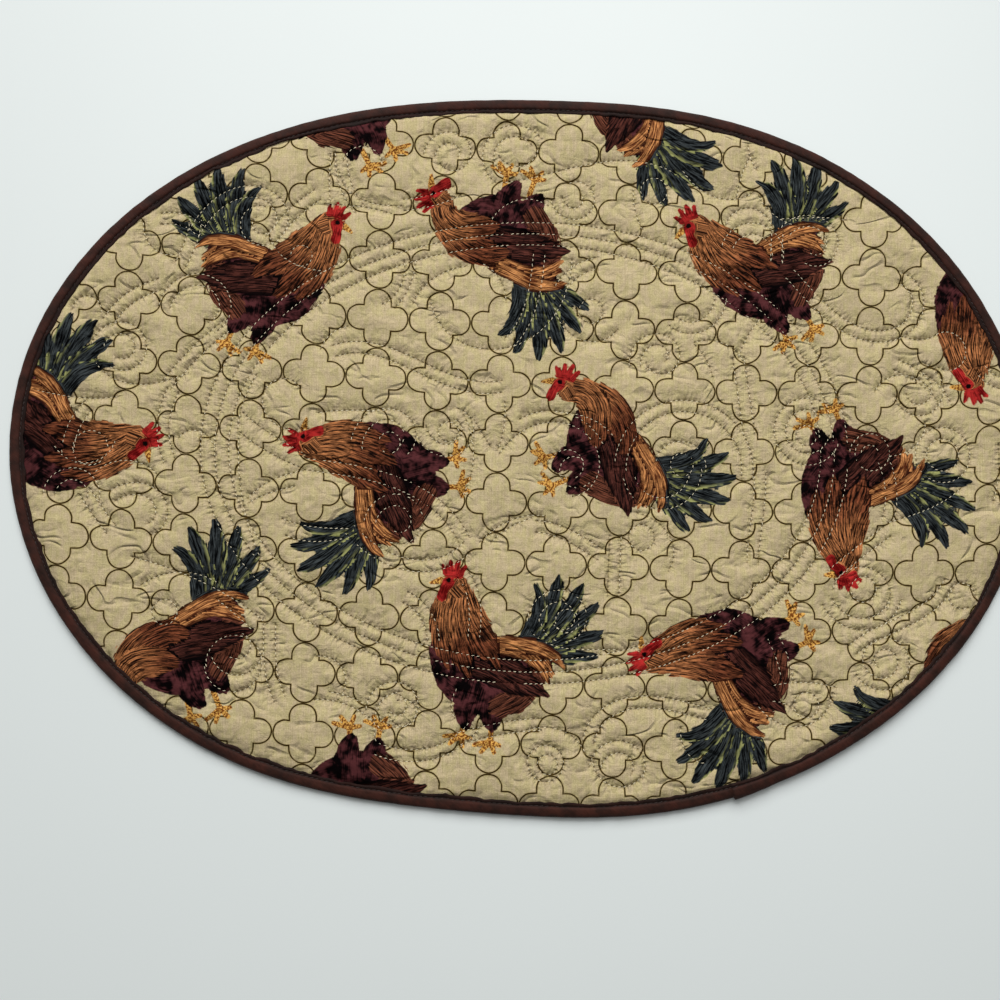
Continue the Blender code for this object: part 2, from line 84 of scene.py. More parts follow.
# Each scroll: start x, start y, heading, length, bend at its start and at its end in
# degrees per centimetre (left is positive), number of parallel lines (less than 0: they lie
# on the outer side of the bend).
SCROLLS = (
    (-153, 97, 62, 112, -6, -74, 2),
    (-118, 95.5, 58, 30, -8, -8, 2),
    (-165, 63, 80, 62, -30, -45, 2),
    (-194, 45, 78, 58, -42, -60, 2),
    (-205.5, -4, 92, 26, -18, -18, 2),
    (-221, 25, -12, 40, 0, 12, 1),
    (-86, 125.5, -82, 35, 45, 0, 1),
    (-56, 108.5, 8, 26, 6, 8, 2),
    (-92, 110.5, 2, 30, -4, -10, 1),
    (-90, 133, -93, 21, 0, 12, 1),
    (-88, 135, -88, 30, 5, 25, 2),
    (-84, 131, 80, 28, -70, -60, 1),
    (-48, 135, 80, 52, -42, -80, 2),
    (-15.5, 122.5, 142, 50, -38, -40, 2),
    (-13.5, 134, -55, 24, 60, 60, 1),
    (-16, 122, 4, 84, 8, -16, 1),
    (90, 105, 75, 28, -55, -50, 1),
    (115, 104, 50, 58, -30, -62, 2),
    (105, 118.5, -62, 22, 22, 22, 1),
    (115, 108.4, 0, 30, 8, -18, 1),
    (10, 115, -80, 46, 50, 75, 2),
    (-17, 105, 60, 30, -25, -40, 1),
    (88, 95, 75, 46, -38, -42, 2),
    (95, 118, 80, 20, 0, -30, 1),
    (104, 131, 125, 12, -30, -20, 1),
    (63, 120, 90, 38, 95, 95, 1),
    (117, 81.5, -46, 104, -4, 46, 2),
    (172, 54.5, -20, 16, 34, 34, 1),
    (186, 56, 32, 38, -62, -68, 1),
    (169, 44, -25, 32, 0, -30, 2),
    (158, 30, 62, 30, -45, -30, 1),
    (167, 27.5, -80, 50, 55, 42, 2),
    (146, 1.5, 85, 58, -58, -80, 2),
    (157.5, -60, 90, 36, 100, 100, 1),
    (138, -60, 75, 44, -42, -46, 1),
    (133, -67, -62, 46, 26, 34, 2),
    (145, -85, 42, 54, -16, 25, -2),
    (148, -98, -58, 72, 40, 62, 2),
    (110.5, -103, 12, 28, -8, -12, 1),
    (131, -111.5, 90, 34, 104, 104, 1),
    (110, -110, 5, 14, -50, -40, 1),
    (104, -112, -55, 44, 25, 40, 1),
    (201, 1, 90, 78, 46, 46, 2),
    (1.5, -138, 90, 50, -70, -75, 1),
    (6, -138.5, 90, 26, -125, -140, 1),
    (-1, -124, 22, 32, -20, -34, 1),
    (29, -139, 80, 42, -40, -55, 2),
    (30.5, -137, -82, 32, 44, 52, 1),
    (26, -128, 84, 68, -32, 4, 2),
    (69.5, -122, -95, 22, 30, 60, 1),
    (-66, -134, -22, 52, 12, 18, 2),
    (-30, -125, 18, 38, -4, -4, 2),
    (-140.5, -96, -85, 80, 45, 48, 1),
    (-137.5, -92, -72, 30, 46, 56, 1),
    (-130, -92, -35, 20, 90, 110, 1),
    (-153, -73, 90, 34, 105, 105, 1),
    (-168.5, -61, 36, 36, -20, -19, 1),
    (-213, -21.5, 85, 40, -45, -48, 2),
    (-191, -12, 45, 30, -30, -30, 1),
    (-184, -20, 35, 46, -25, -60, 2),
    (-197, -22, -58, 20, 4, 4, 2),
    (-173, -49, -15, 66, -2, -6, 1),
    (-136, -67, -38, 22, 0, -8, 1),
    (-209, 0, -60, 34, 35, 45, 1),
    (-185.5, -1, 90, 42, 75, 75, 1),
    (-87, 46.5, 21, 78, -22, 20, 2),
    (-44, 68, -82, 100, 24, 10, 1),
    (-93, 16, 12, 34, -12, 10, 1),
    (-78.5, -1, 95, 58, -27, -55, 2),
    (-66, 4, 80, 26, -120, -120, 1),
    (-50, 9, -76, 52, 34, 60, 2),
    (-30.5, 8.3, 90, 28, 128, 128, 1),
    (-98, -4.5, -6, 84, 0, -14, 2),
    (-72, -32.5, 82, 64, -36, -62, 2),
    (-80.5, -37, -48, 64, 8, 22, 2),
    (-108, -31.5, -22, 30, 14, 0, 1),
    (-106, -39, -22, 26, 20, 6, 1),
    (39.6, -9, 93.5, 104, -18.4, -18.2, 2),
    (107.8, -9, -88, 40, -8, 6, 2),
    (58, -4, 80, 36, -50, -50, 1),
    (75, -5, 90, 32, 112, 112, 1),
    (43.5, -11, -80, 54, 34, 30, 2),
    (-12, -1, 56, 80, -14, -42, 1),
    (29, -13, -132, 34, -62, -100, 1),
    (9.7, -5.5, 72, 36, -55, -110, 1),
    (-3, 14.5, 32, 44, -22, -22, 1),
    (12, 18, 0, 30, -8, -28, 1),
    (-52, -63.3, -23, 27, -26, -22, 2),
    (-26.5, -53, -45, 32, -30, 0, 2),
    (1, -76, 88, 72, -36, -62, 2),
    (24, -75.3, 90, 32, 110, 110, 1),
    (1.5, -79, -50, 42, 30, -8, 1),
    (5, -31, -2, 32, -20, 2, 2),
    (37.5, -37, -92, 27, 0, 0, 2),
    (57.5, -38, 90, 34, 100, 100, 1),
    (50, -27, -15, 34, -18, -48, 1),
    (12, 75, 60, 24, -18, -25, 2),
    (-21, 85, -25, 22, -30, -30, 1),
    (34, 64, 90, 34, 105, 105, 1),
    (12, 66, -80, 38, 25, 45, 1),
    (46, 39, 95, 60, -35, -80, 2),
    (64, 58, -40, 36, 40, 30, 2),
    (75.5, 50.5, 20, 28, -30, -34, 1),
    (76, 49, -45, 16, -20, -20, 1),
    (95.5, 44, 70, 22, -5, -18, 1),
    (93, 43, -82, 34, 0, 0, 2),
    (136.5, 22.3, 140, 78, 38, 38, 2),
    (131, 9, 90, 28, 125, 125, 1),
    (-98, 8.5, 192, 52, -24, -78, 1),
    (-126.5, 15.5, -42, 33, 8, 0, 1),
    (-127.4, 6.6, -40, 31, 8, 4, 1),
    (-99, -10, 190, 28, 8, 22, 1),
    (-103, -17, 193, 21, 4, 14, 1),
    (-128, 6, -92, 56, 4, 6, 1),
    (-160, 26, -115, 34, 12, 18, 2),
    (-69.5, -115, 88, 60, -42, -70, 2),
    (-59.3, -116, -90, 30, 95, 100, 1),
    (-92, -110.7, 4, 34, -18, -14, 1),
    (-85.5, -107.3, -8, 16, -14, -10, 1),
    (202, -62.5, 90, 36, 98, 98, 1),
    (204, 40, -60, 36, 30, 50, 2),
    (214, 6, -85, 26, -8, -8, 1),
    (-136.5, 56.5, 219, 38, 4, 4, 2),
    (-147, 103, -95, 24, -10, -10, 2),
    (-165, 105, 8, 22, -15, -45, 2),
    (-166, 75, 197, 30, 12, 18, 2),
    (-203, 61, 85, 20, -90, -90, 1),
    (-172.5, 103, -100, 26, 30, 60, 1),
    (-117, 98, -85, 35, 40, 5, 1),
    (-107, 87, 90, 26, -120, -120, 1),
    (-56, 85, -82, 23, -25, -38, 1),
    (-51, 86, -92, 24, -14, -22, 1),
    (-28.5, 83.5, 190, 30, 14, 26, 1),
    (7.5, 90, -95, 46, 0, -18, 2),
    (-92.5, 45, 75, 16, -45, -35, 1),
    (-154.3, 4, 60, 22, -90, -30, 1),
    (163.5, 0, -66, 31, -12, -16, 2),
    (163.5, 0, 5, 26, 20, 50, 1),
    (163, -30, 17, 38, 0, 14, 1),
    (-115, -78, -90, 34, 0, 16, 2),
    (47.5, 122, -92, 20, 10, 20, 1),
    (70, 130, -58, 38, 16, 34, 1),
    (111, 102, -93, 15, 0, 2, 2),
    (112.5, -79, -62, 24, -6, -14, 2),
    (-29.5, -105, -125, 14, 40, 50, 1),
    (-192.5, 38, -62, 46, 34, 2, 1),
    (-121, 32.5, -120, 26, 8, 14, 1),
    (-28, 15.5, -62, 38, -16, -14, 1),
    (-10, 22, -85, 22, -10, -16, 1),
    (-16.5, 2.3, 122, 13, 0, 0, 1),
    (-20, -40.5, 48, 32, -14, -20, 1),
    (-15, -40.5, 48, 21, -18, -12, 1),
    (-91.5, -91.8, 8, 28, -50, -52, 1),
    (-64.5, -113, -105, 17, 12, 30, 1),
    (-64.2, -113.5, 62, 12, -45, -45, 1),
    (161, -32, 216, 32, 0, 4, 2),
)

# --- the padded cloth ------------------------------------------------------------------------
FACE_COLUMNS = 360            # columns and rows of faces on the printed side
FACE_ROWS = 256
UNDER_SHARE = 4               # the underside has this many times fewer columns and rows
SNAP_REACH = 0.62             # points of the cloth this near a line of stitches move onto it
SNAP_FADE = 0.12
STITCHED_HEIGHT = 1.75        # top of the cloth at a line of stitches
VALLEY_RISE = 0.6             # the steep rise straight beside a line of stitches
VALLEY_REACH = 0.7
PUFF_RISE = 1.75              # the slow rise out to the middle of a puff
PUFF_REACH = 5.5
LOOSE_REACH = 3               # bumps and creases show from here out
SLOT_HEIGHT = 1.95            # top of the cloth inside the binding
FACE_INSET = 2.4              # edge of the cloth, hidden in the binding
SLOT_INSET = 6.3              # where the cloth comes out of the binding
FOOT_INSET = 14.0             # where its underside comes down to the table
EDGE_UNDER = 0.95             # underside of the cloth inside the binding
SEAM_CLEAR = 8.0              # no quilting nearer the outer edge than this
SHORTEST_LINE = 8             # a stretch of fewer points is not sewn
STITCH_PITCH = 2.32           # from one stitch to the next
PAST_END = 0.8                # faces this far past the end of a line take nothing from it

# Slow unevenness of the puffs: size of a bump, rise.
PUFF_BUMPS = ((26.0, 0.45), (9.5, 0.6), (5.2, 0.25))
GATHER_RISE = 0.52            # little puckers that run out from a line of stitches
GATHER_PITCH = 3.4
GATHER_REACH = 4.0
EDGE_PUCKER = 1.1             # puckers beside the binding
EDGE_PUCKER_TURNS = 52        # waves of them in one radian
EDGE_PUCKER_REACH = 5

# Main creases, each a soft fold: x, y, heading, length, half width, rise (less than 0 sinks).
CREASES = (
    (-141, 86, -48, 18, 1.6, -0.5),
    (-128, 70, -20, 18, 1.4, 0.5),
    (-162, -96.5, 9, 22, 2.3, 0.9),
    (-145.5, -86, 6, 10, 1.2, 0.5),
    (-89, 16, 6, 17, 1.5, -0.6),
    (-74, 17, 38, 8, 1.3, -0.5),
    (-53.6, 17.7, -5, 12, 1.3, -0.5),
    (-8, -113, -20, 9, 1.2, 0.6),
    (-1, -117.5, 28, 10, 1.1, -0.5),
    (2, -112, -62, 8, 1.1, 0.5),
    (6, -116, -15, 8, 1.1, 0.5),
    (122, -98, -38, 7, 1.2, -0.5),
    (126, -101.5, -3, 12, 1.3, -0.6),
    (111, -81, -20, 9, 1.4, -0.5),
    (118, -83.5, -4, 27, 1.5, -0.7),
    (104, -84.5, 3, 12, 1.1, 0.45),
    (104, -89, -2, 12, 1.0, 0.4),
    (105, -93, -5, 11, 1.1, 0.45),
    (107, -97.5, -8, 10, 1.1, 0.4),
    (131, 52, -9, 16, 1.2, 0.5),
    (134, 44, 6, 12, 1.1, 0.4),
    (131, 35, -5, 17, 1.3, 0.5),
    (133, 26, 9, 13, 1.1, 0.4),
    (130, 17, -7, 17, 1.3, 0.5),
    (132, 8, 4, 14, 1.1, 0.4),
    (129, -1, -9, 17, 1.3, 0.5),
    (130, -10, 7, 14, 1.1, 0.4),
    (127, -19, -4, 16, 1.3, 0.5),
    (125, -28, 11, 15, 1.1, 0.45),
    (122, -37, 4, 15, 1.3, 0.5),
    (117, -45, -9, 16, 1.1, 0.45),
    (23, 70.5, 0, 13, 1.4, -0.5),
    (-158, -19, -23, 15, 1.5, -0.6),
    (-135, 65, -8, 18, 1.6, 0.5),
    (-139, 76.5, -17, 9, 1.3, 0.5),
    (-154, 58, -42, 16, 1.5, 0.6),
    (-139, 46, -16, 17, 1.5, 0.5),
)

# --- the binding -----------------------------------------------------------------------------
BINDING_AROUND = 1010         # faces round the mat and round the section
BINDING_ACROSS = 40
# One section from the lower lip round the outside to the upper lip and back inside:
# inset from the outer edge, height, and how far the lapped end pushes it out and up.
BINDING_SECTION = (
    (6.2, 0.02, 0.0, 0.0),
    (3.6, 0.0, 0.1, 0.0),
    (1.5, 0.1, 0.4, 0.0),
    (0.35, 0.7, 0.9, 0.1),
    (0.02, 1.5, 1.0, 0.3),
    (0.45, 2.35, 0.9, 0.7),
    (1.5, 2.95, 0.5, 1.0),
    (2.9, 3.12, 0.2, 1.0),
    (4.25, 2.98, 0.0, 1.0),
    (4.85, 2.28, 0.0, 1.0),
    (5.4, 2.72, 0.0, 1.0),
    (6.2, 2.66, 0.0, 0.9),
    (6.5, 2.42, 0.0, 0.5),
    (6.2, 2.22, 0.0, 0.0),
    (4.4, 2.2, 0.0, 0.0),
    (2.0, 2.15, 0.0, 0.0),
    (1.35, 1.5, 0.0, 0.0),
    (2.0, 0.75, 0.0, 0.0),
    (4.4, 0.62, 0.0, 0.0),
    (6.2, 0.6, 0.0, 0.0),
)
UPPER_FOLD = 2.0              # what lies above this height is the upper fold
LIP_FROM = 4.0                # the upper fold waves from here in to its lip
LIP_DEPTH = 2.5
LIP_WAVE = 0.95
# Unevenness of the upper fold: pitch along the mat, rise.
FOLD_PUCKERS = (4.2, 0.26)
FOLD_SWELL = (31.0, 0.28)
EDGE_SEAM_INSET = 4.85        # the seam that holds the binding down
EDGE_SEAM_HEIGHT = 2.38
LAP_TURN = 301.2              # where one end of the strip is folded over the other
LAP_RISE = 1.0
LAP_LENGTH = 24.0
LAP_EDGE = 0.35
RIM_SAMPLES = 1440

# --- stitches: length, width and height of one -----------------------------------------------
QUILTING_STITCH = (1.5, 0.34, 0.34)
EDGE_STITCH = (1.9, 0.36, 0.3)
STITCH_SLANT = 11.0           # turn of a stitch from its line
STITCH_SPREAD = 5.0           # and how much that turn varies
STITCH_UNEVEN = 0.07          # share by which its size varies
STITCH_LOFT = 0.1             # middle of a quilting stitch, above the cloth at its line


# --- the printed hens ------------------------------------------------------------------------
# A hen facing right as a painter lays it in. For each colour, from the lowest layer to the
# uppermost, its brush strokes; each stroke is a run of x, y and half width.
BODY_STROKES = {
    "tail": (
        ((-16, 6, 4.0), (-29, 8, 4.4), (-41, 9, 2.6), (-46, 10, 1.2)),
        ((-16, 7, 4.0), (-30, 13, 4.6), (-42, 18, 3.0), (-47, 21, 1.2)),
        ((-16, 8, 4.0), (-29, 18, 4.8), (-39, 28, 3.2), (-43, 33, 1.2)),
        ((-15, 9, 4.0), (-26, 22, 4.8), (-33, 35, 3.2), (-35, 41, 1.2)),
        ((-13, 9, 4.0), (-21, 24, 4.6), (-24, 37, 3.0), (-24, 43, 1.2)),
        ((-12, 9, 4.0), (-17, 22, 4.2), (-17, 32, 2.8), (-14, 38, 1.2)),
    ),
    "coat": (
        ((-19, 3, 8.0), (-10, -4, 14.0), (2, -7, 17.0), (12, -4, 15.0), (19, 3, 10.5)),
        ((-2, -18, 7.0), (-3, -24, 5.0), (-4, -28, 2.6)),
        ((8, -17, 7.5), (9, -24, 5.0), (8, -29, 2.6)),
    ),
    "down": (
        ((-21, -4, 5.0), (-14, -13, 6.0), (-6, -19, 5.0)),
    ),
    "wing": (
        ((11, 1, 6.5), (1, -1, 9.0), (-10, -5, 7.5), (-22, -9, 3.0), (-27, -11, 1.0)),
    ),
    "saddle": (
        ((2, 9, 3.5), (-10, 9, 4.5), (-20, 5, 4.0), (-27, -1, 1.4)),
        ((0, 8, 3.5), (-13, 7, 4.0), (-22, 1, 2.6), (-26, -5, 1.0)),
        ((-4, 10, 3.0), (-17, 10, 3.6), (-27, 7, 2.4), (-32, 3, 1.0)),
    ),
}
UPRIGHT_NECK = {
    "cape": (
        ((21, 33, 4.6), (17, 24, 6.6), (9, 12, 7.5), (1, 3, 3.0), (-2, -1, 1.2)),
        ((23, 32, 4.6), (22, 21, 7.2), (18, 9, 7.5), (13, -2, 3.6), (10, -7, 1.2)),
        ((25, 30, 4.2), (26, 19, 5.4), (25, 9, 5.4), (22, 0, 2.6), (20, -5, 1.0)),
    ),
}
PECKING_NECK = {
    "cape": (
        ((36, -13, 4.2), (31, -5, 6.2), (21, 3, 8.0), (9, 5, 6.0), (0, 2, 2.0)),
        ((35, -14, 4.4), (31, -7, 6.0), (24, -4, 7.6), (15, -6, 6.0), (8, -9, 2.0)),
    ),
}
# The head, drawn about its own middle and facing right.
HEAD_STROKES = {
    "cape": (
        ((-2.5, -2, 4.2), (0.5, 0.5, 4.4)),
    ),
    "red": (
        ((-3.5, 4.0, 1.4), (0, 5.0, 1.8), (3.5, 4.4, 1.5)),
        ((-3.2, 4.6, 1.3), (-5.0, 8.2, 1.0)),
        ((-1.0, 5.5, 1.4), (-1.6, 10.0, 1.1)),
        ((1.4, 5.5, 1.4), (2.0, 9.6, 1.0)),
        ((3.6, 4.4, 1.2), (5.4, 7.4, 0.9)),
        ((1.6, 0.2, 2.8), (2.4, -1.6, 2.2)),
        ((3.2, -2.6, 1.8), (3.6, -6.4, 2.4)),
    ),
    "gold": (
        ((5.0, 0.6, 1.7), (9.6, -1.2, 0.7)),
    ),
    "eye": (
        ((1.5, 1.2, 1.15), (1.8, 1.2, 1.15)),
    ),
}
LEG_STROKES = {
    "gold": (
        ((-3.5, -27, 1.3), (-4, -35, 1.15)),
        ((-4, -35, 1.15), (3, -37.5, 1.0)),
        ((-4, -35, 1.15), (-0.5, -40, 1.0)),
        ((-4, -35, 1.15), (-6.5, -39.5, 1.0)),
        ((-4, -35, 1.15), (-8.5, -36, 1.0)),
        ((8.5, -27, 1.3), (9.5, -34, 1.15)),
        ((9.5, -34, 1.15), (17, -35.5, 1.0)),
        ((9.5, -34, 1.15), (14, -38.5, 1.0)),
        ((9.5, -34, 1.15), (8, -39, 1.0)),
        ((9.5, -34, 1.15), (5, -35, 1.0)),
    ),
}
# Poses: neck, where the head sits and how it is turned, and how far the body tips.
HEN_POSES = {
    "upright": (UPRIGHT_NECK, (24, 33), 0, 0),
    "pecking": (PECKING_NECK, (38, -15), -52, -9),
}
HEN_LAYERS = ("gold", "tail", "coat", "down", "wing", "saddle", "cape", "red", "eye")
# Hens on the cloth: pose, x, y, turn, and 1 or -1 for facing right or left before turning.
HENS = (
    ("upright", -120, 78, -18, 1),
    ("pecking", -10, 92, 165, 1),
    ("upright", 110, 86, 28, -1),
    ("upright", -64, -16, 96, 1),
    ("pecking", 42, 0, -70, -1),
    ("upright", 150, -12, -155, 1),
    ("pecking", -148, -84, 20, -1),
    ("upright", -14, -94, -8, -1),
    ("upright", 94, -96, 118, 1),
    ("upright", -210, 6, -60, 1),
    ("pecking", -86, 160, 30, 1),
    ("upright", 212, 72, 200, 1),
    ("upright", -70, -156, 175, 1),
    ("pecking", 186, -106, 75, 1),
    ("upright", 50, 162, -100, -1),
)
HEN_SIZE = 0.97
HEN_REACH = 56.0              # nothing of a hen lies further from its middle
RAGGED_REACH = 0.9            # how far outside a stroke its ragged edge may run
STRAY_REACH = 3.0             # faces this near a stroke still follow its direction
STROKE_STRIDE = 41            # keeps the hairs of one stroke, and of one hen, unlike the next
HEN_STRIDE = 300
STROKE_STEPS = 5
FAR = 9.0                     # distance given to what no stroke and no line reaches


# --- rim of the mat --------------------------------------------------------------------------
def raw_rim(turn):
    """Outer edge before it is centred; turn in radians."""
    along = (abs(cos(turn)) / HALF_LENGTH) ** ROUNDNESS
    across = (abs(sin(turn)) / HALF_WIDTH) ** ROUNDNESS
    reach = (along + across) ** (-1 / ROUNDNESS)
    for waves, rise, crest in EDGE_WAVES:
        reach += rise * cos(waves * (turn - radians(crest)))
    return Vector((reach * cos(turn), reach * sin(turn)))


RAW = [raw_rim(2 * pi * i / RIM_SAMPLES) for i in range(RIM_SAMPLES)]
MIDDLE = Vector((
    (min(p.x for p in RAW) + max(p.x for p in RAW)) / 2,
    (min(p.y for p in RAW) + max(p.y for p in RAW)) / 2,
))


def rim(turn):
    return raw_rim(turn) - MIDDLE


def rim_frame(turn):
    """A point of the outer edge and the direction square to it, inwards."""
    step = pi / RIM_SAMPLES
    along = (rim(turn + step) - rim(turn - step)).normalized()
    return rim(turn), Vector((-along.y, along.x))


def point_tree(points):
    tree = kdtree.KDTree(len(points))
    for i, point in enumerate(points):
        tree.insert((point[0], point[1], 0), i)
    tree.balance()
    return tree


RIM_TREE = point_tree([p - MIDDLE for p in RAW])


def rim_distance(x, y):
    """How far in from the outer edge a point lies; less than 0 outside it."""
    inner = sqrt(x * x + y * y) < rim(atan2(y, x)).length
    return RIM_TREE.find((x, y, 0))[2] * (1 if inner else -1)


def lift(x, y, inward):
    """Height by which the mat stands off the table near its edge."""
    part = inward / LIFT_DEPTH
    if part >= 1:
        return 0
    fade = (1 - part) ** 2 * (1 + 2 * part)
    turn = atan2(y, x)
    total = 0
    for place, rise, spread in EDGE_LIFTS:
        away = (turn - radians(place) + pi) % (2 * pi) - pi
        total += rise * exp(-(away / radians(spread)) ** 2)
    return total * fade


# --- lines of quilting -----------------------------------------------------------------------
def scroll_lines(row):
    """The parallel lines of one scroll, each a list of points a millimetre apart."""
    x, y, heading, length, first, last, count = row
    side = 1 if (first + last) * count >= 0 else -1
    lines = [[] for _ in range(abs(count))]
    turn = radians(heading)
    for i in range(length + 1):
        bend = radians(first + (last - first) * i / length) / 10
        for k, line in enumerate(lines):
            away = k * LINE_GAP
            if side * bend * (away + TIGHTEST) < 1:
                out = turn + side * pi / 2
                line.append((x + away * cos(out), y + away * sin(out)))
        turn += bend / 2
        x += cos(turn)
        y += sin(turn)
        turn += bend / 2
    return lines


def ring_lines():
    """The closed lines that frame the middle of the mat."""
    steps = 760
    lines = []
    for k in range(RING_LINES):
        place = k - (RING_LINES - 1) / 2
        line = []
        for i in range(steps + 1):
            turn = 2 * pi * i / steps
            out = Vector((cos(turn) / RING_HALF_LENGTH, sin(turn) / RING_HALF_WIDTH)).normalized()
            away = place * (RING_SIDE_GAP + (RING_END_GAP - RING_SIDE_GAP) * abs(cos(turn)))
            x = RING_HALF_LENGTH * cos(turn)
            y = RING_HALF_WIDTH * sin(turn) * (1 + RING_SPREAD * x)
            line.append((RING_CENTRE[0] + x + away * out.x, RING_CENTRE[1] + y + away * out.y))
        lines.append(line)
    return lines


class Seams:
    """Every line of quilting as samples: place, direction, way along the line, its ends."""

    def __init__(self):
        self.lines = []
        for group in [ring_lines()] + [scroll_lines(row) for row in SCROLLS]:
            for line in group:
                run = np.array([p for p in line if rim_distance(*p) > SEAM_CLEAR])
                if len(run) > SHORTEST_LINE:
                    self.lines.append(run)
        places, ways, alongs, owners, ends = [], [], [], [], []
        for k, run in enumerate(self.lines):
            steps = np.diff(run, axis=0)
            along = np.concatenate([[0], np.cumsum(np.hypot(*steps.T))])
            way = np.gradient(run, axis=0)
            way /= np.hypot(*way.T)[:, None]
            places.append(run)
            ways.append(way)
            alongs.append(along)
            owners.append(np.full(len(run), k))
            end = np.zeros(len(run))
            end[0] = -1
            end[-1] = 1
            ends.append(end)
        self.place = np.concatenate(places)
        self.way = np.concatenate(ways)
        self.along = np.concatenate(alongs)
        self.owner = np.concatenate(owners)
        self.end = np.concatenate(ends)
        self.tree = point_tree(self.place)

    def nearest(self, points):
        return np.array([self.tree.find((x, y, 0))[1] for x, y in points])

    def local(self, points, index):
        """Way along the line, signed distance from it and how far past its end, seen from a sample."""
        offset = points - self.place[index]
        way = self.way[index]
        ahead = (offset * way).sum(-1)
        aside = way[..., 0] * offset[..., 1] - way[..., 1] * offset[..., 0]
        past = np.where(self.end[index] * ahead > 0, np.abs(ahead), 0)
        return self.along[index] + ahead, aside, past


SEAMS = Seams()


# --- heights of the cloth --------------------------------------------------------------------
def smooth_between(a, b, c, d, t):
    """A place on the smooth curve through a, b, c and d: from b where t is 0 to c where it is 1."""
    return 0.5 * (2 * b + (c - a) * t + (2 * a - 5 * b + 4 * c - d) * t ** 2
                  + (3 * b - a - 3 * c + d) * t ** 3)


def bumps(points, size, seed):
    return np.array([noise.noise((x / size, y / size, seed)) for x, y in points])


def creases(points):
    total = np.zeros(len(points))
    for x, y, heading, length, half, rise in CREASES:
        way = np.array((cos(radians(heading)), sin(radians(heading))))
        offset = points - (x, y)
        ahead = offset @ way
        aside = offset @ (-way[1], way[0])
        fade = np.clip(np.minimum(ahead, length - ahead) / (length / 3), 0, 1)
        total += rise * fade * np.exp(-(aside / half) ** 2)
    return total


def cloth_heights(points, inward):
    """The points with those near a seam drawn onto it, and the height of the cloth's top there."""
    index = SEAMS.nearest(points)
    along, aside, past = SEAMS.local(points, index)
    away = np.hypot(aside, past)
    pull = np.clip((SNAP_REACH - away) / SNAP_FADE, 0, 1) * (past == 0) * (inward > SEAM_CLEAR)
    way = SEAMS.way[index]
    normal = np.stack([-way[:, 1], way[:, 0]], 1)
    points = points - normal * (aside * pull)[:, None]
    away = away * (1 - pull)
    slot = np.maximum(inward - SLOT_INSET, 0)
    low = np.where(slot < away, SLOT_HEIGHT, STITCHED_HEIGHT)
    free = np.minimum(away, slot)
    height = low + VALLEY_RISE * (1 - np.exp(-free / VALLEY_REACH))
    height += PUFF_RISE * (1 - np.exp(-free / PUFF_REACH))
    loose = 1 - np.exp(-free / LOOSE_REACH)
    for k, (size, rise) in enumerate(PUFF_BUMPS):
        height += rise * loose * bumps(points, size, 3.7 + k)
    side = np.sign(aside)
    # Each line, and each side of it, has puckers of its own.
    gather = np.array([
        noise.noise((a / GATHER_PITCH, 7.3 * o + 3.1 * s, d / 9))
        for a, o, s, d in zip(along, SEAMS.owner[index], side, away)
    ])
    height += GATHER_RISE * gather * np.exp(-free / GATHER_REACH) * (1 - np.exp(-free / 0.5))
    height += creases(points) * loose
    edge = np.array([
        noise.noise((atan2(y, x) * EDGE_PUCKER_TURNS, 4.5, d / 7))
        for (x, y), d in zip(points, slot)
    ])
    height += EDGE_PUCKER * edge * np.exp(-slot / EDGE_PUCKER_REACH) * (1 - np.exp(-slot / 0.6))
    return points, height


def oval_place(u, v, inset):
    """Where a point of the square grid falls in the oval whose edge lies an inset in from the rim."""
    across = u * sqrt(1 - v * v / 2)
    upward = v * sqrt(1 - u * u / 2)
    reach = sqrt(across * across + upward * upward)
    turn = atan2(upward * HALF_WIDTH, across * HALF_LENGTH)
    edge, inwards = rim_frame(turn)
    return (edge + inwards * inset) * reach


def oval_grid(bm, columns, rows, inset):
    """A square grid drawn out to the oval; its points come back as an array too."""
    made = bmesh.ops.create_grid(bm, x_segments=columns, y_segments=rows, size=1)
    verts = made["verts"]
    points = np.array([oval_place(v.co.x, v.co.y, inset) for v in verts])
    return verts, points


def flat_places(items, field):
    """Where the points or faces of a mesh lie seen from above, in millimetres."""
    places = np.zeros(len(items) * 3)
    items.foreach_get(field, places)
    return places.reshape(-1, 3)[:, :2] / MM


def corner_places(mesh):
    """Face middles, the face that each corner belongs to, and the corners' own places."""
    corner_verts = np.zeros(len(mesh.loops), int)
    mesh.loops.foreach_get("vertex_index", corner_verts)
    totals = np.zeros(len(mesh.polygons), int)
    mesh.polygons.foreach_get("loop_total", totals)
    owner = np.repeat(np.arange(len(totals)), totals)
    places = flat_places(mesh.vertices, "co")
    return flat_places(mesh.polygons, "center"), owner, places[corner_verts]


def set_map(mesh, name, across, up):
    layer = mesh.uv_layers.new(name=name)
    layer.data.foreach_set("uv", np.stack([across, up], 1).ravel().astype(np.float32))


def seam_map(mesh):
    """Way along the nearest seam in stitches, and millimetres from it, at every corner."""
    middles, owner, corners = corner_places(mesh)
    index = SEAMS.nearest(middles)
    past = SEAMS.local(middles, index)[2]
    along, aside, _ = SEAMS.local(corners, index[owner])
    aside = np.where(past[owner] > PAST_END, FAR, aside)
    set_map(mesh, "Seam", along / STITCH_PITCH, aside)


# --- painting the hens -----------------------------------------------------------------------
def moved(strokes, place=(0, 0), turn=0):
    """The strokes turned about the origin and then shifted."""
    c, s = cos(radians(turn)), sin(radians(turn))
    out = {}
    for layer, runs in strokes.items():
        out[layer] = [
            [(x * c - y * s + place[0], x * s + y * c + place[1], half) for x, y, half in run]
            for run in runs
        ]
    return out


